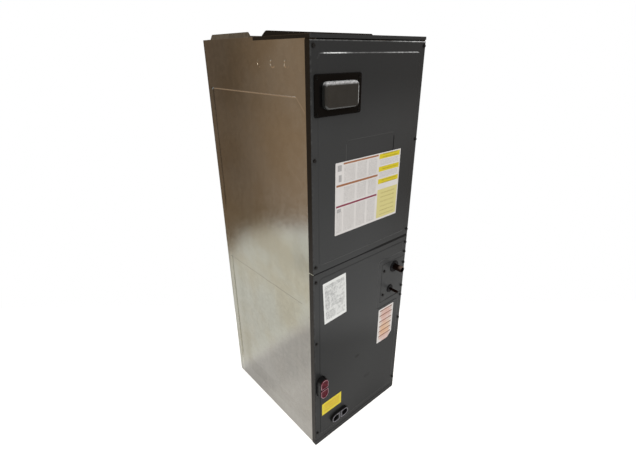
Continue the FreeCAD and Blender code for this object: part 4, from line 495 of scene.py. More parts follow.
def scuff(finish, x, z, reach):
    """A ragged rubbed spot on the front, wider than high."""
    ragged = finish.noise(85.0, 5.0) * 0.7
    across = (finish.x - x) / (reach * 1.6)
    along = (finish.z - z) / reach
    return (across * across + along * along + ragged).fade(0.85, 0.25)


def painted_front_shade(finish):
    """Painted shade and reflection: how much darker the front gets towards its foot, its top and its right
    edge.
    """
    x, z = finish.x, finish.z
    foot = 0.88 * (z + 0.38 * x).fade(0.50, 0.36) + 0.16 * z.fade(0.16, 0.05)
    top = 0.56 * z.fade(1.12, 1.28)
    lower_right = 0.45 * (x - 0.8 * z).fade(-0.25, 0.10)
    upper_right = 0.34 * x.fade(-0.02, 0.20) * z.fade(0.60, 0.72) * z.fade(1.12, 0.96)
    return foot + top + lower_right + upper_right


def panel_glints(finish, on_front):
    """Painted highlights: ragged glints along the top edges of the upper panel and its raised field."""
    x, y, z = finish.x, finish.y, finish.z
    ragged = 0.45 + 0.55 * finish.noise(150.0, 3.0).fade(0.35, 0.60)
    bright = x.fade(-0.185, -0.175) * x.fade(-0.08, -0.12) + 0.45 * x.fade(0.0, 0.12)
    crest = z.between(PANEL_EDGE - 0.0028, PANEL_EDGE + 0.0002)
    crest = crest * y.between(FIELD_Y + 0.0001, SHEET_Y - 0.0001) * (0.12 + 0.8 * bright) * ragged
    brow = z.between(PANEL_HIGH.z - 0.0024, PANEL_HIGH.z + 0.0004) * on_front * ragged
    return crest.greatest(brow * (0.10 + 0.50 * x.fade(0.04, 0.18)))


def panel_lines(finish, colour, on_front):
    """Painted light on the recess's left wall, painted shade on its right wall, and painted shadow in the
    gaps at the seam and the tubing plate's foot.
    """
    x, z = finish.x, finish.z
    # Painted light and shade on the recess's left and right walls
    upright = z.between(RECESS_TOP - 0.090, RECESS_TOP - 0.012) * on_front
    lit = upright * x.between(RECESS_LEFT, RECESS_LEFT + 0.0024)
    colour = finish.mixed(lit * 0.8, colour, LIT_WALL)
    dim = upright * x.between(RECESS_RIGHT - 0.0028, RECESS_RIGHT)
    colour = finish.mixed(dim * 0.85, colour, DIM_WALL)
    # Painted shadow: black lines in the gaps at the tubing plate's foot and along the seam
    gap = z.between(PLATE_LOW.z + 0.0008, PLATE_LOW.z + 0.0036) * (x > PLATE_LOW.x + 0.024)
    seam = z.between(LOWER_TOP - 0.0022, PANEL_LOW.z + 0.0026) * x.fade(-0.04, 0.10)
    return finish.mixed(gap.greatest(seam) * on_front, colour, GAP_SHADOW)


def paint_finish():
    """Dark powder coat: orange peel, dust, lighter wear along the upright edges, two scuffs low on the front,
    and painted shade, reflection, highlights and shadow lines.
    """
    finish = Finish("dark_paint")
    peel = finish.noise(950.0, 2.0)
    cloud = finish.noise(4.2, 4.0)
    dust = finish.noise(120.0, 4.0)
    on_front = finish.y < SHEET_Y + 0.002
    # Painted shade and reflection: darker towards the foot, the top and the right
    colour = finish.shaded(colours().paint, 1.55 + 0.22 * cloud + 0.10 * dust - painted_front_shade(finish))
    rub = abs(finish.x).fade(RIGHT - 0.006, RIGHT - 0.0005) * on_front * dust.fade(0.45, 0.62)
    colour = finish.mixed(rub * 0.12, colour, RUBBED_PAINT)
    scuffs = sum(scuff(finish, *spot) for spot in SCUFFS)
    colour = finish.mixed(scuffs * 0.8, colour, SCUFF_BLACK)
    # Painted highlights along the panel's top edges
    colour = finish.mixed(panel_glints(finish, on_front), colour, EDGE_GLINT)
    # Painted light and shade on the recess walls, painted shadow in the gaps
    colour = panel_lines(finish, colour, on_front)
    # Painted warm reflection: faces off the front get a darker brown
    colour = finish.mixed(on_front, finish.shaded(WARM_REFLECTION_PAINT, 0.8 + 0.4 * dust), colour)
    finish.bump(peel, 0.00010)
    roughness = 0.26 + 0.08 * cloud + 0.05 * dust
    return finish.set(Base_Color=colour, Roughness=roughness, Metallic=0.0, IOR=1.17)


# Other finishes

def moulded_finish(name, tone, low, high, ior=1.45):
    """A moulded plastic or rubber with a fine grain and faint mottling."""
    finish = Finish(name)
    grain = finish.noise(1300.0, 2.0)
    cloud = finish.noise(28.0, 3.0)
    colour = finish.shaded(tone, 0.9 + 0.2 * cloud)
    finish.bump(grain, 0.00008)
    return finish.set(Base_Color=colour, Roughness=low + (high - low) * cloud, Metallic=0.0, IOR=ior)


def plain_metal_finish(name, tone, low, high, metallic):
    """A metal piece with machining lines and stains."""
    finish = Finish(name)
    stain = finish.noise(24.0, 4.0)
    lines = finish.noise(1.0, 2.0, finish.stretched(30.0, 30.0, 600.0))
    colour = finish.shaded(tone, 0.85 + 0.22 * stain + 0.08 * lines)
    finish.bump(lines, 0.00006)
    return finish.set(Base_Color=colour, Roughness=low + (high - low) * stain, Metallic=metallic)


def boot_finish():
    """Smoky flexible boot, glossy, with painted highlights along its top and right edges."""
    finish = Finish("smoky_boot")
    haze = finish.noise(35.0, 4.0)
    highlight_breaks = finish.noise(210.0, 3.0).fade(0.34, 0.60)
    # Painted highlights: a ragged band along the top and a line down the right edge
    top = finish.z.fade(BOOT_HIGH.z - 0.010, BOOT_HIGH.z - 0.004)
    right = finish.x.fade(BOOT_HIGH.x - 0.0065, BOOT_HIGH.x - 0.0035)
    painted_highlight = top * haze.fade(0.28, 0.5) * (0.45 + 0.55 * highlight_breaks)
    colour = finish.mixed(haze.fade(0.3, 0.75) * 0.5, colours().boot, (0.014, 0.015, 0.014))
    colour = finish.mixed(painted_highlight * 0.85, colour, (0.55, 0.55, 0.55))
    colour = finish.mixed(right * (0.5 + 0.4 * highlight_breaks), colour, (0.60, 0.60, 0.59))
    finish.bump(haze, 0.0004)
    return finish.set(Base_Color=colour, Roughness=0.16 + 0.16 * haze, Metallic=0.0, IOR=1.5)


def copper_finish():
    """Drawn copper, darkened almost to black, with a painted highlight along the top of the wider line's end.
    """
    finish = Finish("copper_tube")
    stain = finish.noise(60.0, 5.0)
    rings = finish.noise(1.0, 2.0, finish.stretched(40.0, 700.0, 40.0))
    front = CAD_BOX[0].y
    # Painted highlight on top of the suction stub's end
    painted_highlight = finish.y.fade(front + 0.016, front + 0.006) * finish.z.fade(SUCTION_Z + 0.002, SUCTION_Z + 0.010)
    dark = finish.shaded(colours().copper, 0.012 + 0.025 * stain)
    colour = finish.mixed(painted_highlight * 0.5, dark, (0.62, 0.50, 0.46))
    finish.bump(rings, 0.00005)
    return finish.set(Base_Color=colour, Roughness=0.34 + 0.22 * stain, Metallic=0.9)


def fin_finish():
    """Stacked aluminium fins on the coil, ribbed from front to back, with painted shade between the fins."""
    finish = Finish("coil_fins")
    fins_per_metre = 560.0
    ridge = abs((finish.y * fins_per_metre).fraction() - 0.5) * 2.0
    stain = finish.noise(18.0, 4.0)
    # Painted shade: darker between the fins
    colour = finish.shaded((0.62, 0.63, 0.64), 0.35 + 0.55 * ridge + 0.18 * stain)
    finish.bump(ridge, 0.0006)
    return finish.set(Base_Color=colour, Roughness=0.32 + 0.18 * stain, Metallic=0.85)


def liner_finish():
    """Fibre insulation with a dark facing."""
    finish = Finish("fibre_liner")
    fibre = finish.noise(260.0, 6.0)
    cloud = finish.noise(14.0, 3.0)
    colour = finish.mixed(fibre.fade(0.42, 0.66), (0.028, 0.028, 0.030), (0.085, 0.082, 0.078))
    finish.bump(fibre + 0.5 * cloud, 0.0009)
    return finish.set(Base_Color=colour, Roughness=0.86 + 0.1 * cloud, Metallic=0.0)


def board_finish():
    """Circuit board: coated laminate with pale tracks."""
    finish = Finish("circuit_board")
    tracks = (finish.x * 210.0 + finish.noise(30.0, 1.0) * 2.0).fraction().between(0.0, 0.28)
    rows = (finish.z * 160.0).fraction().between(0.0, 0.55)
    colour = finish.mixed(tracks * rows * 0.6, (0.012, 0.095, 0.040), (0.06, 0.22, 0.11))
    return finish.set(Base_Color=colour, Roughness=0.30 + 0.12 * rows, Metallic=0.0)


def plug_finish(front):
    """Red plug plastic with a painted highlight on its rim and painted shade on the floor of its dish."""
    finish = Finish("plug_face")
    cloud = finish.noise(90.0, 3.0)
    # Painted highlight on the rim's front and painted shade on the floor of the dish
    rim = finish.y.fade(front + 0.0009, front + 0.0003)
    floor = finish.y.between(front + 0.0015, front + 0.0021)
    colour = finish.mixed(rim * cloud.fade(0.2, 0.6) * 0.9, colours().plug, (0.50, 0.30, 0.34))
    colour = finish.mixed(floor * cloud.fade(0.25, 0.7), colour, (0.045, 0.003, 0.008))
    return finish.set(Base_Color=colour, Roughness=0.55 + 0.18 * cloud, Metallic=0.0, IOR=1.22)


def rim_finish():
    """Grey port rims."""
    finish = Finish("port_rim")
    cloud = finish.noise(110.0, 3.0)
    colour = finish.shaded((0.20, 0.19, 0.22), 0.8 + 0.4 * cloud)
    return finish.set(Base_Color=colour, Roughness=0.4 + 0.15 * cloud, Metallic=0.0)


NODE_FINISHES = {
    "galvanised": zinc_finish,
    "painted": paint_finish,
    "fastener": lambda: plain_metal_finish("dark_screws", (0.010, 0.010, 0.010), 0.5, 0.65, 0.5),
    "insulation": liner_finish,
    "cover": lambda: moulded_finish("black_cover", (0.003, 0.003, 0.003), 0.12, 0.22, 1.2),
    "boot": boot_finish,
    "rubber": lambda: moulded_finish("rubber", colours().black, 0.55, 0.7, 1.2),
    "copper": copper_finish,
    "brass": lambda: plain_metal_finish("brass", (0.58, 0.40, 0.15), 0.28, 0.42, 1.0),
    "pan": lambda: moulded_finish("drain_pan_plastic", (0.007, 0.007, 0.0075), 0.42, 0.55, 1.35),
    "plug": lambda: moulded_finish("drain_plug_plastic", colours().plug, 0.3, 0.45),
    "fins": fin_finish,
    "wheel": lambda: plain_metal_finish("wheel_steel", (0.48, 0.48, 0.47), 0.28, 0.42, 1.0),
    "shaft": lambda: plain_metal_finish("ground_steel", (0.55, 0.55, 0.55), 0.16, 0.3, 1.0),
    "motor": lambda: plain_metal_finish("motor_paint", (0.022, 0.022, 0.024), 0.34, 0.5, 0.2),
    "capacitor": lambda: plain_metal_finish("drawn_aluminium", (0.60, 0.60, 0.61), 0.24, 0.36, 1.0),
    "board": board_finish,
    "relay": lambda: moulded_finish("relay_cases", (0.020, 0.022, 0.028), 0.3, 0.45),
    "transformer": lambda: plain_metal_finish("varnished_core", (0.075, 0.058, 0.045), 0.4, 0.55, 0.5),
    "breaker": lambda: moulded_finish("breaker_case", (0.016, 0.016, 0.017), 0.35, 0.5),
    "handle": lambda: moulded_finish("breaker_handle", (0.030, 0.030, 0.032), 0.3, 0.45),
}
MADE_FINISHES = {}


def finish_of(slot):
    """The material of a slot, made once."""
    if slot not in MADE_FINISHES:
        MADE_FINISHES[slot] = NODE_FINISHES[slot]()
    return MADE_FINISHES[slot]


# Labels: paper with colour fields and plain rules, read from their own middle

class LabelFinish(Finish):
    """Printed paper, with places across and up given as shares of the label's size."""

    def __init__(self, name, place, tilt=0.0):
        super().__init__(name)
        left, foot, width, height = place
        across = self.x - (LEFT + left + width / 2)
        up = self.z - (foot + height / 2)
        self.s = 0.5 + (across * math.cos(tilt) + up * math.sin(tilt)) / width
        self.t = 0.5 + (up * math.cos(tilt) - across * math.sin(tilt)) / height
        self.colour = self.shaded(colours().paper, 0.93 + 0.14 * self.noise(30.0, 4.0))

    def fill(self, mask, colour):
        self.colour = self.mixed(mask, self.colour, colour)

    def area(self, across, up):
        return self.s.between(*across) * self.t.between(*up)

    def rules(self, across, up, count, colour, weight=0.5):
        """Fine ragged rules that fill an area, so many to the label's height."""
        ragged = self.noise(1.0, 3.0, self.stretched(420.0, 1.0, 900.0)).fade(0.38, 0.55)
        lines = (self.t * count).fraction().between(0.25, 0.25 + weight)
        self.fill(self.area(across, up) * lines * ragged * 0.7, colour)

    def done(self):
        wear = self.noise(9.0, 4.0)
        return self.set(Base_Color=self.colour, Roughness=0.42 + 0.14 * wear, Metallic=0.0, IOR=1.3)


GREY_RULE = (0.30, 0.28, 0.27)
DARK_RULE = (0.11, 0.11, 0.115)

MAIN_RULES = 62.0
MAIN_COLUMNS = ((0.12, 0.28), (0.31, 0.45), (0.48, 0.61))
MAIN_BLOCKS = ((0.73, 0.945), (0.445, 0.665), (0.03, 0.38))
MAIN_MARKS = (((0.03, 0.085), (0.885, 0.965)), ((0.045, 0.085), (0.745, 0.835)),
              ((0.025, 0.085), (0.325, 0.375)))
BAR_ACROSS = (0.015, 0.63)
YELLOW_ACROSS = (0.645, 0.985)
YELLOW_BANDS = ((0.915, 0.985), (0.735, 0.805), (0.555, 0.625))
PALE_YELLOW = (0.58, 0.52, 0.22)
BAND_RULE = (0.24, 0.17, 0.02)
ROW_RULE = (0.26, 0.19, 0.04)


def main_label_finish(place):
    """White stock with bars over three columns of rules, and yellow fields on the right."""
    finish = LabelFinish("main_label_print", place)
    for across in MAIN_COLUMNS:
        for up in MAIN_BLOCKS:
            finish.rules(across, up, MAIN_RULES, GREY_RULE)
    finish.rules((0.02, 0.10), (0.03, 0.33), MAIN_RULES, GREY_RULE)
    finish.fill(finish.area((0.11, 0.63), (0.962, 0.985)), colours().orange)
    finish.fill(finish.area(BAR_ACROSS, (0.680, 0.708)), colours().orange)
    finish.fill(finish.area(BAR_ACROSS, (0.396, 0.422)), colours().red)
    speckle = finish.noise(1400.0, 1.0).fade(0.40, 0.60)
    for across, up in MAIN_MARKS:
        finish.fill(finish.area(across, up) * (0.35 + 0.3 * speckle), DARK_RULE)
    finish.fill(finish.area(YELLOW_ACROSS, (0.03, 0.47)), PALE_YELLOW)
    for band in YELLOW_BANDS:
        finish.fill(finish.area(YELLOW_ACROSS, band), colours().yellow)
        finish.rules((0.70, 0.95), band, 24.0, BAND_RULE, 0.4)
    for low in (0.64, 0.82):
        finish.rules((0.66, 0.97), (low, low + 0.085), MAIN_RULES, GREY_RULE)
    for i in range(6):
        low = 0.06 + 0.068 * i
        finish.rules((0.70, 0.94), (low, low + 0.02), 48.0, ROW_RULE, 0.6)
    return finish.done()


DATA_STOCK = (0.715, 0.72, 0.70)
DATA_BLOCKS = (((0.08, 0.92), (0.84, 0.93)), ((0.08, 0.25), (0.34, 0.80)), ((0.30, 0.52), (0.46, 0.80)),
               ((0.38, 0.92), (0.36, 0.46)), ((0.08, 0.50), (0.10, 0.27)))


def data_label_finish(place):
    """Pale stock with blocks of dark rules and a blotchy print inside a plain border."""
    finish = LabelFinish("data_label_print", place, sizes().data_tilt)
    finish.colour = finish.shaded(DATA_STOCK, 0.95 + 0.1 * finish.noise(40.0, 3.0))
    for across, up in DATA_BLOCKS:
        finish.rules(across, up, 40.0, DARK_RULE, 0.45)
    blotch = finish.noise(105.0, 3.0).fade(0.42, 0.66)
    finish.fill(finish.area((0.06, 0.94), (0.07, 0.94)) * (0.10 + 0.28 * blotch), DARK_RULE)
    return finish.done()


STRIPE_ACROSS = (0.08, 0.92)
STRIPES = (0.925, 0.785, 0.615, 0.465, 0.315, 0.165)
STRIPE_BROWN = (0.20, 0.080, 0.045)
STRIPE_RULE = (0.42, 0.20, 0.11)
PINK_CLOUD = (0.58, 0.33, 0.27)
AMBER_CLOUD = (0.66, 0.39, 0.18)


def striped_label_finish(place):
    """Clouded stock with six brown stripes, each over a block of rules."""
    finish = LabelFinish("striped_label_print", place)
    tint = finish.s.fade(0.05, 0.30) * finish.s.fade(0.95, 0.70)
    finish.fill(tint * finish.noise(26.0, 2.0).fade(0.30, 0.60) * 0.75, PINK_CLOUD)
    finish.fill(tint * finish.t.fade(0.66, 0.45) * finish.t.fade(0.10, 0.28) * 0.6, AMBER_CLOUD)
    for low in STRIPES:
        finish.fill(finish.area(STRIPE_ACROSS, (low, low + 0.030)), STRIPE_BROWN)
        finish.rules(STRIPE_ACROSS, (low - 0.075, low - 0.012), 70.0, STRIPE_RULE, 0.45)
    return finish.done()


SMALL_ORANGE = (0.56, 0.37, 0.012)
SMALL_RULE = (0.42, 0.27, 0.012)


def small_label_finish(place):
    """Yellow stock with an orange middle and three blocks of rules."""
    finish = LabelFinish("small_label_print", place)
    cloud = finish.noise(24.0, 4.0)
    finish.colour = finish.shaded(colours().yellow, 0.96 + 0.2 * cloud)
    finish.fill(finish.area((0.09, 0.91), (0.13, 0.87)) * cloud.fade(0.2, 0.6) * 0.7, SMALL_ORANGE)
    for low in (0.66, 0.46, 0.24):
        finish.rules((0.10, 0.90), (low, low + 0.10), 22.0, SMALL_RULE)
    return finish.done()


# Modelling

SMOOTH_ANGLE = math.radians(35)
SMALL_SIDES = 24
SHANK_SIDES = 32
TUBE_SIDES = 64


def let_go():
    """Back to object mode with nothing selected."""
    if bpy.context.object and bpy.context.object.mode != "OBJECT":
        bpy.ops.object.mode_set(mode="OBJECT")
    bpy.ops.object.select_all(action="DESELECT")


def take(*pieces):
    """Select these pieces alone, the first as the active one."""
    let_go()
    for piece in pieces:
        piece.select_set(True)
    bpy.context.view_layer.objects.active = pieces[0]


def join(*pieces):
    """Make the pieces one, under the first one's name."""
    take(*pieces)
    bpy.ops.object.join()
    return pieces[0]


def settle(name):
    """Name the new piece and put its place into its mesh."""
    piece = bpy.context.object
    piece.name = name
    bpy.ops.object.transform_apply(location=True, rotation=True, scale=True)
    return piece


def block(name, low, high, tilt=0.0):
    """A box between two corners, tilted about Y through its middle."""
    let_go()
    low, high = Vector(low), Vector(high)
    bpy.ops.mesh.primitive_cube_add(size=1.0, location=(low + high) / 2)
    bpy.context.object.scale = high - low
    bpy.context.object.rotation_euler.y = -tilt
    return settle(name)


def drum(name, centre, radius, depth, sides):
    """A cylinder along Y, with its front face at the centre's Y."""
    let_go()
    middle = Vector(centre) + Vector((0, depth / 2, 0))
    bpy.ops.mesh.primitive_cylinder_add(vertices=sides, radius=radius, depth=depth, location=middle,
                                        rotation=(math.pi / 2, 0, 0))
    return settle(name)


def hold(piece, modes):
    """Take a piece with none of its points, edges and faces selected, ready for a select mode."""
    take(piece)
    bpy.context.tool_settings.mesh_select_mode = modes
    for item in list(piece.data.vertices) + list(piece.data.edges) + list(piece.data.polygons):
        item.select = False


def edit_faces(piece, test):
    """Go to edit mode with the faces selected for whose normals the test holds."""
    hold(piece, (False, False, True))
    for face in piece.data.polygons:
        face.select = bool(test(face.normal))
    bpy.ops.object.mode_set(mode="EDIT")


def edit_edges(piece, test):
    """Go to edit mode with the edges selected for whose two ends the test holds."""
    hold(piece, (False, True, False))
    points = piece.data.vertices
    for edge in piece.data.edges:
        edge.select = bool(test(*[points[i].co for i in edge.vertices]))
    bpy.ops.object.mode_set(mode="EDIT")


def push(depth):
    """Extrude the selected faces along Y."""
    bpy.ops.mesh.extrude_region_move(TRANSFORM_OT_translate={"value": (0, depth, 0)})


def round_edges(offset, segments=2):
    bpy.ops.mesh.bevel(offset=offset, segments=segments)


def inset(thickness, depth=0.0):
    """Inset the selected faces, and raise them by a depth or sink them by a negative one."""
    bpy.ops.mesh.inset(thickness=thickness, depth=depth)


def copies_at(pattern, places, name, turns=None):
    """Copies of a piece, each turned about Y and moved to its place, joined as one; the pattern goes."""
    made = []
    for place, turn in zip(places, turns or [0.0] * len(places)):
        take(pattern)
        bpy.ops.object.duplicate(linked=False)
        copy = bpy.context.object
        copy.location = place
        copy.rotation_euler.y = turn
        bpy.ops.object.transform_apply(location=True, rotation=True, scale=False)
        made.append(copy)
    bpy.data.objects.remove(pattern)
    group = join(*made)
    group.name = name
    return group


def hand_over(piece, material, body, slot, *stands_for):
    """Finish a piece: smooth it, give it its material and tie it to its body."""
    take(piece)
    bpy.ops.object.shade_smooth_by_angle(angle=SMOOTH_ANGLE)
    let_go()
    piece.data.materials.clear()
    piece.data.materials.append(material)
    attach(piece, body)
    if stands_for:
        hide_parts(*stands_for)


def faces_front(normal):
    return normal.y < -0.9


def squarely_front(normal):
    return normal.y < -0.999


def faces_back(normal):
    return normal.y > 0.9


def faces_either(normal):
    return abs(normal.y) > 0.9


def runs_deep(a, b):
    """An edge that runs from front to back."""
    return abs(a.y - b.y) > 1e-4 and abs(a.x - b.x) < 1e-5 and abs(a.z - b.z) < 1e-5


def on_front_of(y):
    return lambda a, b: abs(a.y - y) < 1e-5 and abs(b.y - y) < 1e-5


def mount(name):
    """A mount of the record."""
    return [m for m in frame["record"]["mounts"] if m["name"] == name][0]


# Pieces

class AIRHANDLER_OT_finishes(bpy.types.Operator):
    """Procedural finishes on every solid of the frame"""
    bl_idname = "airhandler.finishes"
    bl_label = "Finishes"

    def execute(self, context):
        for part in frame["record"]["subparts"]:
            solid = frame["nodes"][part["node"]]
            solid.data.materials.clear()
            solid.data.materials.append(finish_of(part["material_slot"]))
        return {"FINISHED"}


WASHER_THICKNESS = 0.0011
HEXAGON_FOOT = 0.0008
SCREW_BEVEL = 0.0005
HEXAGON_RIM = 0.0012
DISH_SLOPE = 0.0004
DISH_DEPTH = 0.0005
# Heights of the screws, and their places from the tubing plate's edges
UPPER_ROWS = (0.758, 1.075, 1.345)
LOWER_LEFT_ROWS = (0.059, 0.473, 0.706)
LOWER_RIGHT_ROWS = (0.059, 0.374, 0.481, 0.668, 0.706)
PLATE_COLUMN = 0.0116
PLATE_ROW = 0.028


def screw_head():
    """A hex washer-head screw at the origin, its face towards the front."""
    own = sizes()
    screw = drum("screw_pattern", (0, -WASHER_THICKNESS, 0), own.screw_washer, WASHER_THICKNESS, SMALL_SIDES)
    edit_edges(screw, on_front_of(-WASHER_THICKNESS))
    round_edges(SCREW_BEVEL)
    depth = own.screw_rise - HEXAGON_FOOT
    hexagon = drum("screw_hexagon", (0, -own.screw_rise, 0), own.screw_flat / 2, depth, 6)
    edit_faces(hexagon, faces_front)
    inset(HEXAGON_RIM)
    inset(DISH_SLOPE, -DISH_DEPTH)
    on_face = on_front_of(-own.screw_rise)
    edit_edges(hexagon, lambda a, b: on_face(a, b) and min(a.xz.length, b.xz.length) > own.screw_flat * 0.45)
    round_edges(SCREW_BEVEL)
    return join(screw, hexagon)


class AIRHANDLER_OT_screws(bpy.types.Operator):
    """Hex washer-head screws on the two panels and the tubing plate"""
    bl_idname = "airhandler.screws"
    bl_label = "Panel screws"

    def execute(self, context):
        edge = RIGHT - sizes().screw_inset
        upper = [(side * edge, SHEET_Y, z) for side in (-1, 1) for z in UPPER_ROWS]
        lower = [(-edge, SHEET_Y, z) for z in LOWER_LEFT_ROWS]
        lower += [(edge, SHEET_Y, z) for z in LOWER_RIGHT_ROWS]
        plate = [(x, SHEET_Y, z) for x in (PLATE_LOW.x + PLATE_COLUMN, edge)
                 for z in (PLATE_LOW.z + PLATE_ROW, PLATE_HIGH.z - PLATE_ROW)]
        groups = (("upper_panel_screws", upper, "upper_panel"),
                  ("lower_panel_screws", lower, "lower_panel"),
                  ("tubing_plate_screws", plate, "cabinet"))
        for name, places, body in groups:
            heads = copies_at(screw_head(), places, name.replace("screws", "screw_heads"))
            hand_over(heads, finish_of("fastener"), body, "fastener", name)
        return {"FINISHED"}


SEAL_FRONT = SHEET_Y + 0.0045
SEAL_BACK = SHEET_Y + 0.0125
SEAL_FOOT = PANEL_HIGH.z + 0.0010
SEAL_TOP = SIDE_HIGH.z - 0.0001
SEAL_ROUND = 0.002
TAPE_FRONT = SHEET_Y + 0.0003
TAPE_BACK = SIDE_LOW.y - 0.00005
TAPE_CLEARANCE = 0.0003
TAPE_BEVEL = 0.0003


class AIRHANDLER_OT_seal(bpy.types.Operator):
    """Foam strip under the top cap, and thin black tape in the seam between the panels that stands in for the
    seam's shadow
    """
    bl_idname = "airhandler.seal"
    bl_label = "Seals"
    half_width: bpy.props.FloatProperty(
        name="Half width", description="From the middle to the strip's end", default=0.194, unit="LENGTH")
    half_tape: bpy.props.FloatProperty(
        name="Half tape", description="From the middle to the tape's end", default=0.2205, unit="LENGTH")

    def execute(self, context):
        strip = block("cap_seal", (-self.half_width, SEAL_FRONT, SEAL_FOOT),
                      (self.half_width, SEAL_BACK, SEAL_TOP))
        edit_edges(strip, lambda a, b: min(a.z, b.z) < SEAL_FOOT + 0.001 and abs(a.x - b.x) > self.half_width)
        round_edges(SEAL_ROUND, 3)
        hand_over(strip, finish_of("rubber"), "cabinet", "rubber")
        # Black tape in the seam: a dark strip standing in for the seam's shadow
        tape = block("seam_tape", (-self.half_tape, TAPE_FRONT, LOWER_TOP + TAPE_CLEARANCE),
                     (self.half_tape, TAPE_BACK, PANEL_LOW.z - TAPE_CLEARANCE))
        edit_edges(tape, on_front_of(TAPE_FRONT))
        round_edges(TAPE_BEVEL)
        hand_over(tape, finish_of("rubber"), "cabinet", "rubber")
        return {"FINISHED"}


CROWN_STEPS = 7
CROWN_BORDER = 0.002
CROWN_SLOPE = 0.0025
CROWN_DISH = 0.0006
BOOT_WALL = 0.004
BOOT_FRONT_WALL = 0.003
RIVET_RISE = 0.0018
RIVET_ROUND = 0.0014


class AIRHANDLER_OT_breaker_boot(bpy.types.Operator):
    """Soft boot over the breaker and the rivets of its cover"""
    bl_idname = "airhandler.breaker_boot"
    bl_label = "Breaker boot"

    def execute(self, context):
        own = sizes()
        shoulder = BOOT_LOW.y + own.boot_round
        boot = block("boot_pillow", (BOOT_LOW.x, shoulder, BOOT_LOW.z), BOOT_HIGH)
        edit_edges(boot, runs_deep)
        round_edges(own.boot_corner, 8)
        edit_faces(boot, faces_front)
        turns = [math.pi / 2 * i / CROWN_STEPS for i in range(CROWN_STEPS + 1)]
        for low, high in zip(turns, turns[1:]):
            inset(own.boot_round * (math.cos(low) - math.cos(high)),
                  own.boot_round * (math.sin(high) - math.sin(low)))
        inset(CROWN_BORDER)
        inset(CROWN_SLOPE, -CROWN_DISH)
        edit_faces(boot, faces_back)
        inset(BOOT_WALL)
        push(BOOT_LOW.y - BOOT_HIGH.y + BOOT_FRONT_WALL)
        hand_over(boot, finish_of("boot"), "upper_panel", "boot", "breaker_boot")
        self.rivets(own)
        return {"FINISHED"}

    def rivets(self, own):
        rivet = drum("rivet_pattern", (0, -RIVET_RISE, 0), own.rivet_radius, RIVET_RISE, SMALL_SIDES)
        edit_edges(rivet, on_front_of(-RIVET_RISE))
        round_edges(RIVET_ROUND, 4)
        places = [(x, COVER_LOW.y, z) for x in (COVER_LOW.x + own.rivet_inset, COVER_HIGH.x - own.rivet_inset)
                  for z in (COVER_LOW.z + own.rivet_inset, COVER_HIGH.z - own.rivet_inset)]
        hand_over(copies_at(rivet, places, "cover_rivets"), finish_of("cover"), "upper_panel", "cover")


def label_sheet(name, place, corner, tilt):
    """A thin sheet on a panel's raised field, with rounded corners."""
    left, foot, width, height = place
    low = (LEFT + left, FIELD_Y - sizes().label_thickness, foot)
    sheet = block(name, low, (LEFT + left + width, FIELD_Y, foot + height), tilt)
    edit_edges(sheet, runs_deep)
    round_edges(corner, 4)
    return sheet


def cut_corner(sheet, place, cut):
    """Cut the lower right corner off a label."""
    left, foot, width = place[:3]
    middle = Vector((LEFT + left + width - cut, FIELD_Y, foot + cut))
    hold(sheet, (True, False, False))
    bpy.ops.object.mode_set(mode="EDIT")
    bpy.ops.mesh.select_all(action="SELECT")
    bpy.ops.mesh.bisect(plane_co=middle, plane_no=(1, 0, -1), use_fill=True, clear_outer=True)


class AIRHANDLER_OT_labels(bpy.types.Operator):
    """Label stock on both panels, with plain colour fields and rules"""
    bl_idname = "airhandler.labels"
    bl_label = "Labels"
    corner: bpy.props.FloatProperty(
        name="Corner", description="Rounding of a label's corners", default=0.002, unit="LENGTH")
    cut: bpy.props.FloatProperty(
        name="Cut", description="Half the size of the striped label's cut corner",
        default=0.011, unit="LENGTH")

    def execute(self, context):
        own = sizes()
        prints = (("main_label", main_label_finish, "upper_panel", 0.0),
                  ("data_label", data_label_finish, "lower_panel", own.data_tilt),
                  ("striped_label", striped_label_finish, "lower_panel", 0.0),
                  ("small_label", small_label_finish, "lower_panel", 0.0))
        for name, finish, body, tilt in prints:
            place = getattr(own, name)
            sheet = label_sheet(name, place, self.corner, tilt)
            if name == "striped_label":
                cut_corner(sheet, place, self.cut)
            hand_over(sheet, finish(place), body, "painted")
        return {"FINISHED"}


PLUG_BEVEL = 0.0008
PLUG_RIM = 0.0010
PLUG_SLOPE = 0.0006
PLUG_DISH = 0.0018
SHANK_SHARE = 0.8
RIM_RISE = 0.0012
RIM_BEVEL = 0.0004
RIM_WALL_SHARE = 0.6
# Just short of the whole radius, so that two rounded corners don't meet
ROUND_SHARE = 0.97
FOOT_ROUND = 0.003


def half_oblong(name, radius, reach, depth):
    """A block with a round upper end and a square lower end, its front face at Y 0."""
    piece = block(name, (-radius, 0, -reach), (radius, depth, radius))
    edit_edges(piece, lambda a, b: runs_deep(a, b) and a.z > 0)
    round_edges(radius * ROUND_SHARE, 10)
    edit_edges(piece, lambda a, b: runs_deep(a, b) and a.z < -reach * 0.99)
    round_edges(FOOT_ROUND, 3)
    return piece


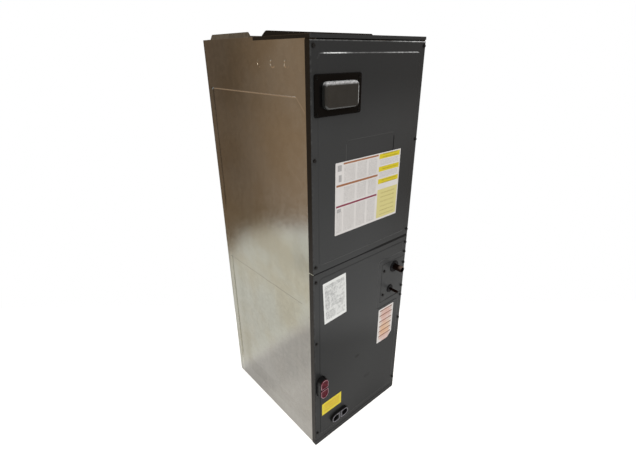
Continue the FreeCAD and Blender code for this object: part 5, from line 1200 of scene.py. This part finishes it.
class AIRHANDLER_OT_drain(bpy.types.Operator):
    """Plugs of the upright drain boss and port rims of the level one"""
    bl_idname = "airhandler.drain"
    bl_label = "Drain fittings"
    spacing: bpy.props.FloatProperty(
        name="Spacing", description="Between the two plugs' middles", default=0.046, unit="LENGTH")
    gap: bpy.props.FloatProperty(
        name="Gap", description="Half the gap between two plugs or rims", default=0.0036, unit="LENGTH")
    rim: bpy.props.FloatProperty(
        name="Rim", description="How far a port's rim stands out round it", default=0.003, unit="LENGTH")

    def execute(self, context):
        self.plugs()
        self.rims()
        return {"FINISHED"}

    def plugs(self):
        low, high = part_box("drain_plugs")
        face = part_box("side_drain_pan")[0].y
        radius = (high.x - low.x) / 2
        plug = half_oblong("plug_pattern", radius, self.spacing / 2 - self.gap, face - low.y)
        edit_edges(plug, on_front_of(0.0))
        round_edges(PLUG_BEVEL)
        edit_faces(plug, squarely_front)
        inset(PLUG_RIM)
        inset(PLUG_SLOPE, -PLUG_DISH)
        shank = drum("plug_shank", (0, face - low.y, 0), radius * SHANK_SHARE, high.y - face, SHANK_SIDES)
        middle = (low + high) / 2
        places = [(middle.x, low.y, middle.z + side * self.spacing / 2) for side in (1, -1)]
        plugs = copies_at(join(plug, shank), places, "plug_faces", (0.0, math.pi))
        hand_over(plugs, plug_finish(low.y), "cabinet", "plug", "drain_plugs")

    def rims(self):
        ports = [mount(name) for name in ("primary_drain", "secondary_drain")]
        ports.sort(key=lambda port: port["pos_m"][0])
        radius = ports[0]["dims"]["r_mm"] / 1000 + self.rim
        spacing = ports[1]["pos_m"][0] - ports[0]["pos_m"][0]
        rim = half_oblong("rim_pattern", radius, spacing / 2 - self.gap, RIM_RISE)
        edit_faces(rim, faces_either)
        inset(self.rim * RIM_WALL_SHARE)
        bpy.ops.mesh.bridge_edge_loops()
        edit_edges(rim, on_front_of(0.0))
        round_edges(RIM_BEVEL)
        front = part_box("drain_pan")[0].y - RIM_RISE
        places = [(port["pos_m"][0], front, port["pos_m"][2]) for port in ports]
        rims = copies_at(rim, places, "port_rims", (-math.pi / 2, math.pi / 2))
        hand_over(rims, rim_finish(), "cabinet", "pan")


STUB_BEVEL = 0.0003
BORE_SHARE = 0.8
COLLAR_ROUND = 0.0030
COLLAR_RIM = 0.0012
COLLAR_DISH = 0.0005


class AIRHANDLER_OT_stubs(bpy.types.Operator):
    """Free ends of the two lines and their rubber grommets"""
    bl_idname = "airhandler.stubs"
    bl_label = "Line stubs"
    wall: bpy.props.FloatProperty(
        name="Wall", description="Tube wall", default=0.0011, unit="LENGTH")
    skin: bpy.props.FloatProperty(
        name="Skin", description="How far a stub's smooth skin stands off the solid",
        default=0.00006, unit="LENGTH")

    def execute(self, context):
        for name in ("suction", "liquid"):
            end = mount(name + "_stub")
            centre = Vector(end["pos_m"])
            self.stub(name, centre, end["dims"]["r_mm"] / 1000, end["dims"]["length_mm"] / 1000)
            self.grommet(name, centre)
        return {"FINISHED"}

    def stub(self, name, centre, radius, length):
        front = centre - Vector((0, self.skin, 0))
        stub = drum(name + "_stub_end", front, radius + self.skin, length, TUBE_SIDES)
        edit_faces(stub, faces_front)
        inset(self.wall)
        push(length * BORE_SHARE)
        edit_edges(stub, on_front_of(front.y))
        round_edges(STUB_BEVEL)
        hand_over(stub, finish_of("copper"), "cabinet", "copper")

    def grommet(self, name, centre):
        low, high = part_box(name + "_grommet")
        outer = (high.x - low.x) / 2
        front = (centre.x, low.y, centre.z)
        collar = drum(name + "_grommet_collar", front, outer, high.y - low.y, TUBE_SIDES)
        edit_edges(collar, on_front_of(low.y))
        round_edges(COLLAR_ROUND, 5)
        edit_faces(collar, squarely_front)
        inset(COLLAR_RIM, -COLLAR_DISH)
        hand_over(collar, finish_of("rubber"), "cabinet", "rubber", name + "_grommet")


# Studio

SENSOR_WIDTH = 36.0
CLIP_START = 0.01
FLOOR_SIDES = 96
FLOOR_TONE = (0.80, 0.79, 0.77)
FLOOR_GLOW = (1.0, 0.99, 0.97)
# Where the floor fades out behind the object and to its left, seen along the camera's heading
FLOOR_BACK = (0.49, 0.58)
FLOOR_LEFT = (1.88, 2.02)
WHITE = (1.0, 1.0, 1.0, 1.0)
DIM_ROOM = (0.320, 0.222, 0.146, 1.0)
SOFT_GREY = (0.42, 0.42, 0.42, 1.0)


def softbox(name, place, aim, side, power):
    """A square lamp turned towards a point."""
    let_go()
    bpy.ops.object.light_add(type="AREA", location=place)
    lamp = bpy.context.object
    lamp.name = name
    lamp.data.size = side
    lamp.data.energy = power
    lamp.rotation_euler = (Vector(aim) - Vector(place)).to_track_quat("-Z", "Y").to_euler()
    return lamp


def floor_finish(own):
    """Pale floor that fades out towards its rim, and ends straight behind the object and far to its left."""
    finish = Finish("pale_floor")
    x, y = finish.x, finish.y
    ahead, level = math.cos(own.camera_turn), math.sin(own.camera_turn)
    behind = (x * level + y * ahead).fade(*FLOOR_BACK)
    beside = (y * level - x * ahead).fade(*FLOOR_LEFT)
    rim = (x * x + y * y).root().fade(own.floor_radius * 0.86, own.floor_radius * 0.98)
    fine = finish.noise(60.0, 3.0)
    finish.set(Base_Color=finish.shaded(FLOOR_TONE, 0.97 + 0.06 * fine), Roughness=0.55 + 0.1 * fine,
               Emission_Color=FLOOR_GLOW, Emission_Strength=0.70)
    clear = finish.node("ShaderNodeBsdfTransparent")
    mix = finish.node("ShaderNodeMixShader", {}, {
        0: rim.greatest(behind).greatest(beside), 1: finish.shader.outputs["BSDF"], 2: clear.outputs["BSDF"]})
    finish.feed(finish.output.inputs["Surface"], mix.outputs[0])
    return finish.material


def studio_world():
    """White behind the object, dim warm room in its reflections, even soft light on its faces."""
    world = bpy.data.worlds.new("studio")
    bpy.context.scene.world = world
    world.use_nodes = True
    tree = world.node_tree
    tree.nodes.clear()
    path = tree.nodes.new("ShaderNodeLightPath")
    lights = []
    for colour in (WHITE, DIM_ROOM, SOFT_GREY):
        lights.append(tree.nodes.new("ShaderNodeBackground"))
        lights[-1].inputs["Color"].default_value = colour
    seen, dim, soft = [light.outputs[0] for light in lights]
    by_gloss, by_camera = [tree.nodes.new("ShaderNodeMixShader") for _ in range(2)]
    output = tree.nodes.new("ShaderNodeOutputWorld")
    tree.links.new(path.outputs["Is Glossy Ray"], by_gloss.inputs[0])
    tree.links.new(soft, by_gloss.inputs[1])
    tree.links.new(dim, by_gloss.inputs[2])
    tree.links.new(path.outputs["Is Camera Ray"], by_camera.inputs[0])
    tree.links.new(by_gloss.outputs[0], by_camera.inputs[1])
    tree.links.new(seen, by_camera.inputs[2])
    tree.links.new(by_camera.outputs[0], output.inputs["Surface"])


class AIRHANDLER_OT_stage(bpy.types.Operator):
    """Pale floor, soft studio light and the camera"""
    bl_idname = "airhandler.stage"
    bl_label = "Studio"

    def execute(self, context):
        own = sizes()
        let_go()
        bpy.ops.mesh.primitive_circle_add(vertices=FLOOR_SIDES, radius=own.floor_radius, fill_type="NGON")
        floor = settle("floor")
        floor.data.materials.append(floor_finish(own))
        softbox("key_light", place=(-0.9, -2.6, 2.9), aim=(0.0, 0.0, 0.7), side=2.4, power=50.0)
        top = softbox("top_light", place=(0.2, 0.3, 3.4), aim=(0.0, 0.0, 0.0), side=3.0, power=42.0)
        top.visible_glossy = False
        softbox("right_light", place=(2.4, -1.5, 2.8), aim=(0.0, -0.2, 0.9), side=1.2, power=8.0)
        studio_world()
        context.scene.view_settings.view_transform = "Standard"
        self.camera(context, own)
        return {"FINISHED"}

    def camera(self, context, own):
        turn, pitch, roll = own.camera_turn, own.camera_pitch, own.camera_roll
        ahead = Vector((math.sin(turn) * math.cos(pitch), math.cos(turn) * math.cos(pitch), -math.sin(pitch)))
        level = Vector((math.cos(turn), -math.sin(turn), 0.0))
        upright = level.cross(ahead)
        right = level * math.cos(roll) + upright * math.sin(roll)
        up = upright * math.cos(roll) - level * math.sin(roll)
        facing = Matrix((right, up, -ahead)).transposed().to_4x4()
        let_go()
        bpy.ops.object.camera_add()
        camera = context.object
        camera.name = "camera"
        camera.matrix_world = Matrix.Translation(own.camera_place) @ facing
        camera.data.sensor_fit = "HORIZONTAL"
        camera.data.sensor_width = SENSOR_WIDTH
        camera.data.lens = own.camera_lens
        camera.data.clip_start = CLIP_START
        context.scene.camera = camera


class AIRHANDLER_PT_panel(bpy.types.Panel):
    """Dressing steps of the air handler"""
    bl_idname = "AIRHANDLER_PT_panel"
    bl_label = "Air handler"
    bl_space_type = "VIEW_3D"
    bl_region_type = "UI"
    bl_category = "Air handler"

    def draw(self, context):
        for step in STEPS:
            self.layout.operator("airhandler." + step)
        for group in (context.scene.air_handler_sizes, context.scene.air_handler_colours):
            column = self.layout.column()
            for name in group.__annotations__:
                column.prop(group, name)


STEPS = ("finishes", "screws", "seal", "breaker_boot", "labels", "drain", "stubs", "stage")
CLASSES = (
    AirHandlerSizes,
    AirHandlerColours,
    AIRHANDLER_OT_finishes,
    AIRHANDLER_OT_screws,
    AIRHANDLER_OT_seal,
    AIRHANDLER_OT_breaker_boot,
    AIRHANDLER_OT_labels,
    AIRHANDLER_OT_drain,
    AIRHANDLER_OT_stubs,
    AIRHANDLER_OT_stage,
    AIRHANDLER_PT_panel,
)


def register():
    for cls in CLASSES:
        bpy.utils.register_class(cls)
    bpy.types.Scene.air_handler_sizes = bpy.props.PointerProperty(type=AirHandlerSizes)
    bpy.types.Scene.air_handler_colours = bpy.props.PointerProperty(type=AirHandlerColours)


def unregister():
    del bpy.types.Scene.air_handler_colours
    del bpy.types.Scene.air_handler_sizes
    for cls in reversed(CLASSES):
        bpy.utils.unregister_class(cls)


def main():
    register()
    for step in STEPS:
        getattr(bpy.ops.airhandler, step)()
    let_go()


if __name__ == "__main__":
    main()
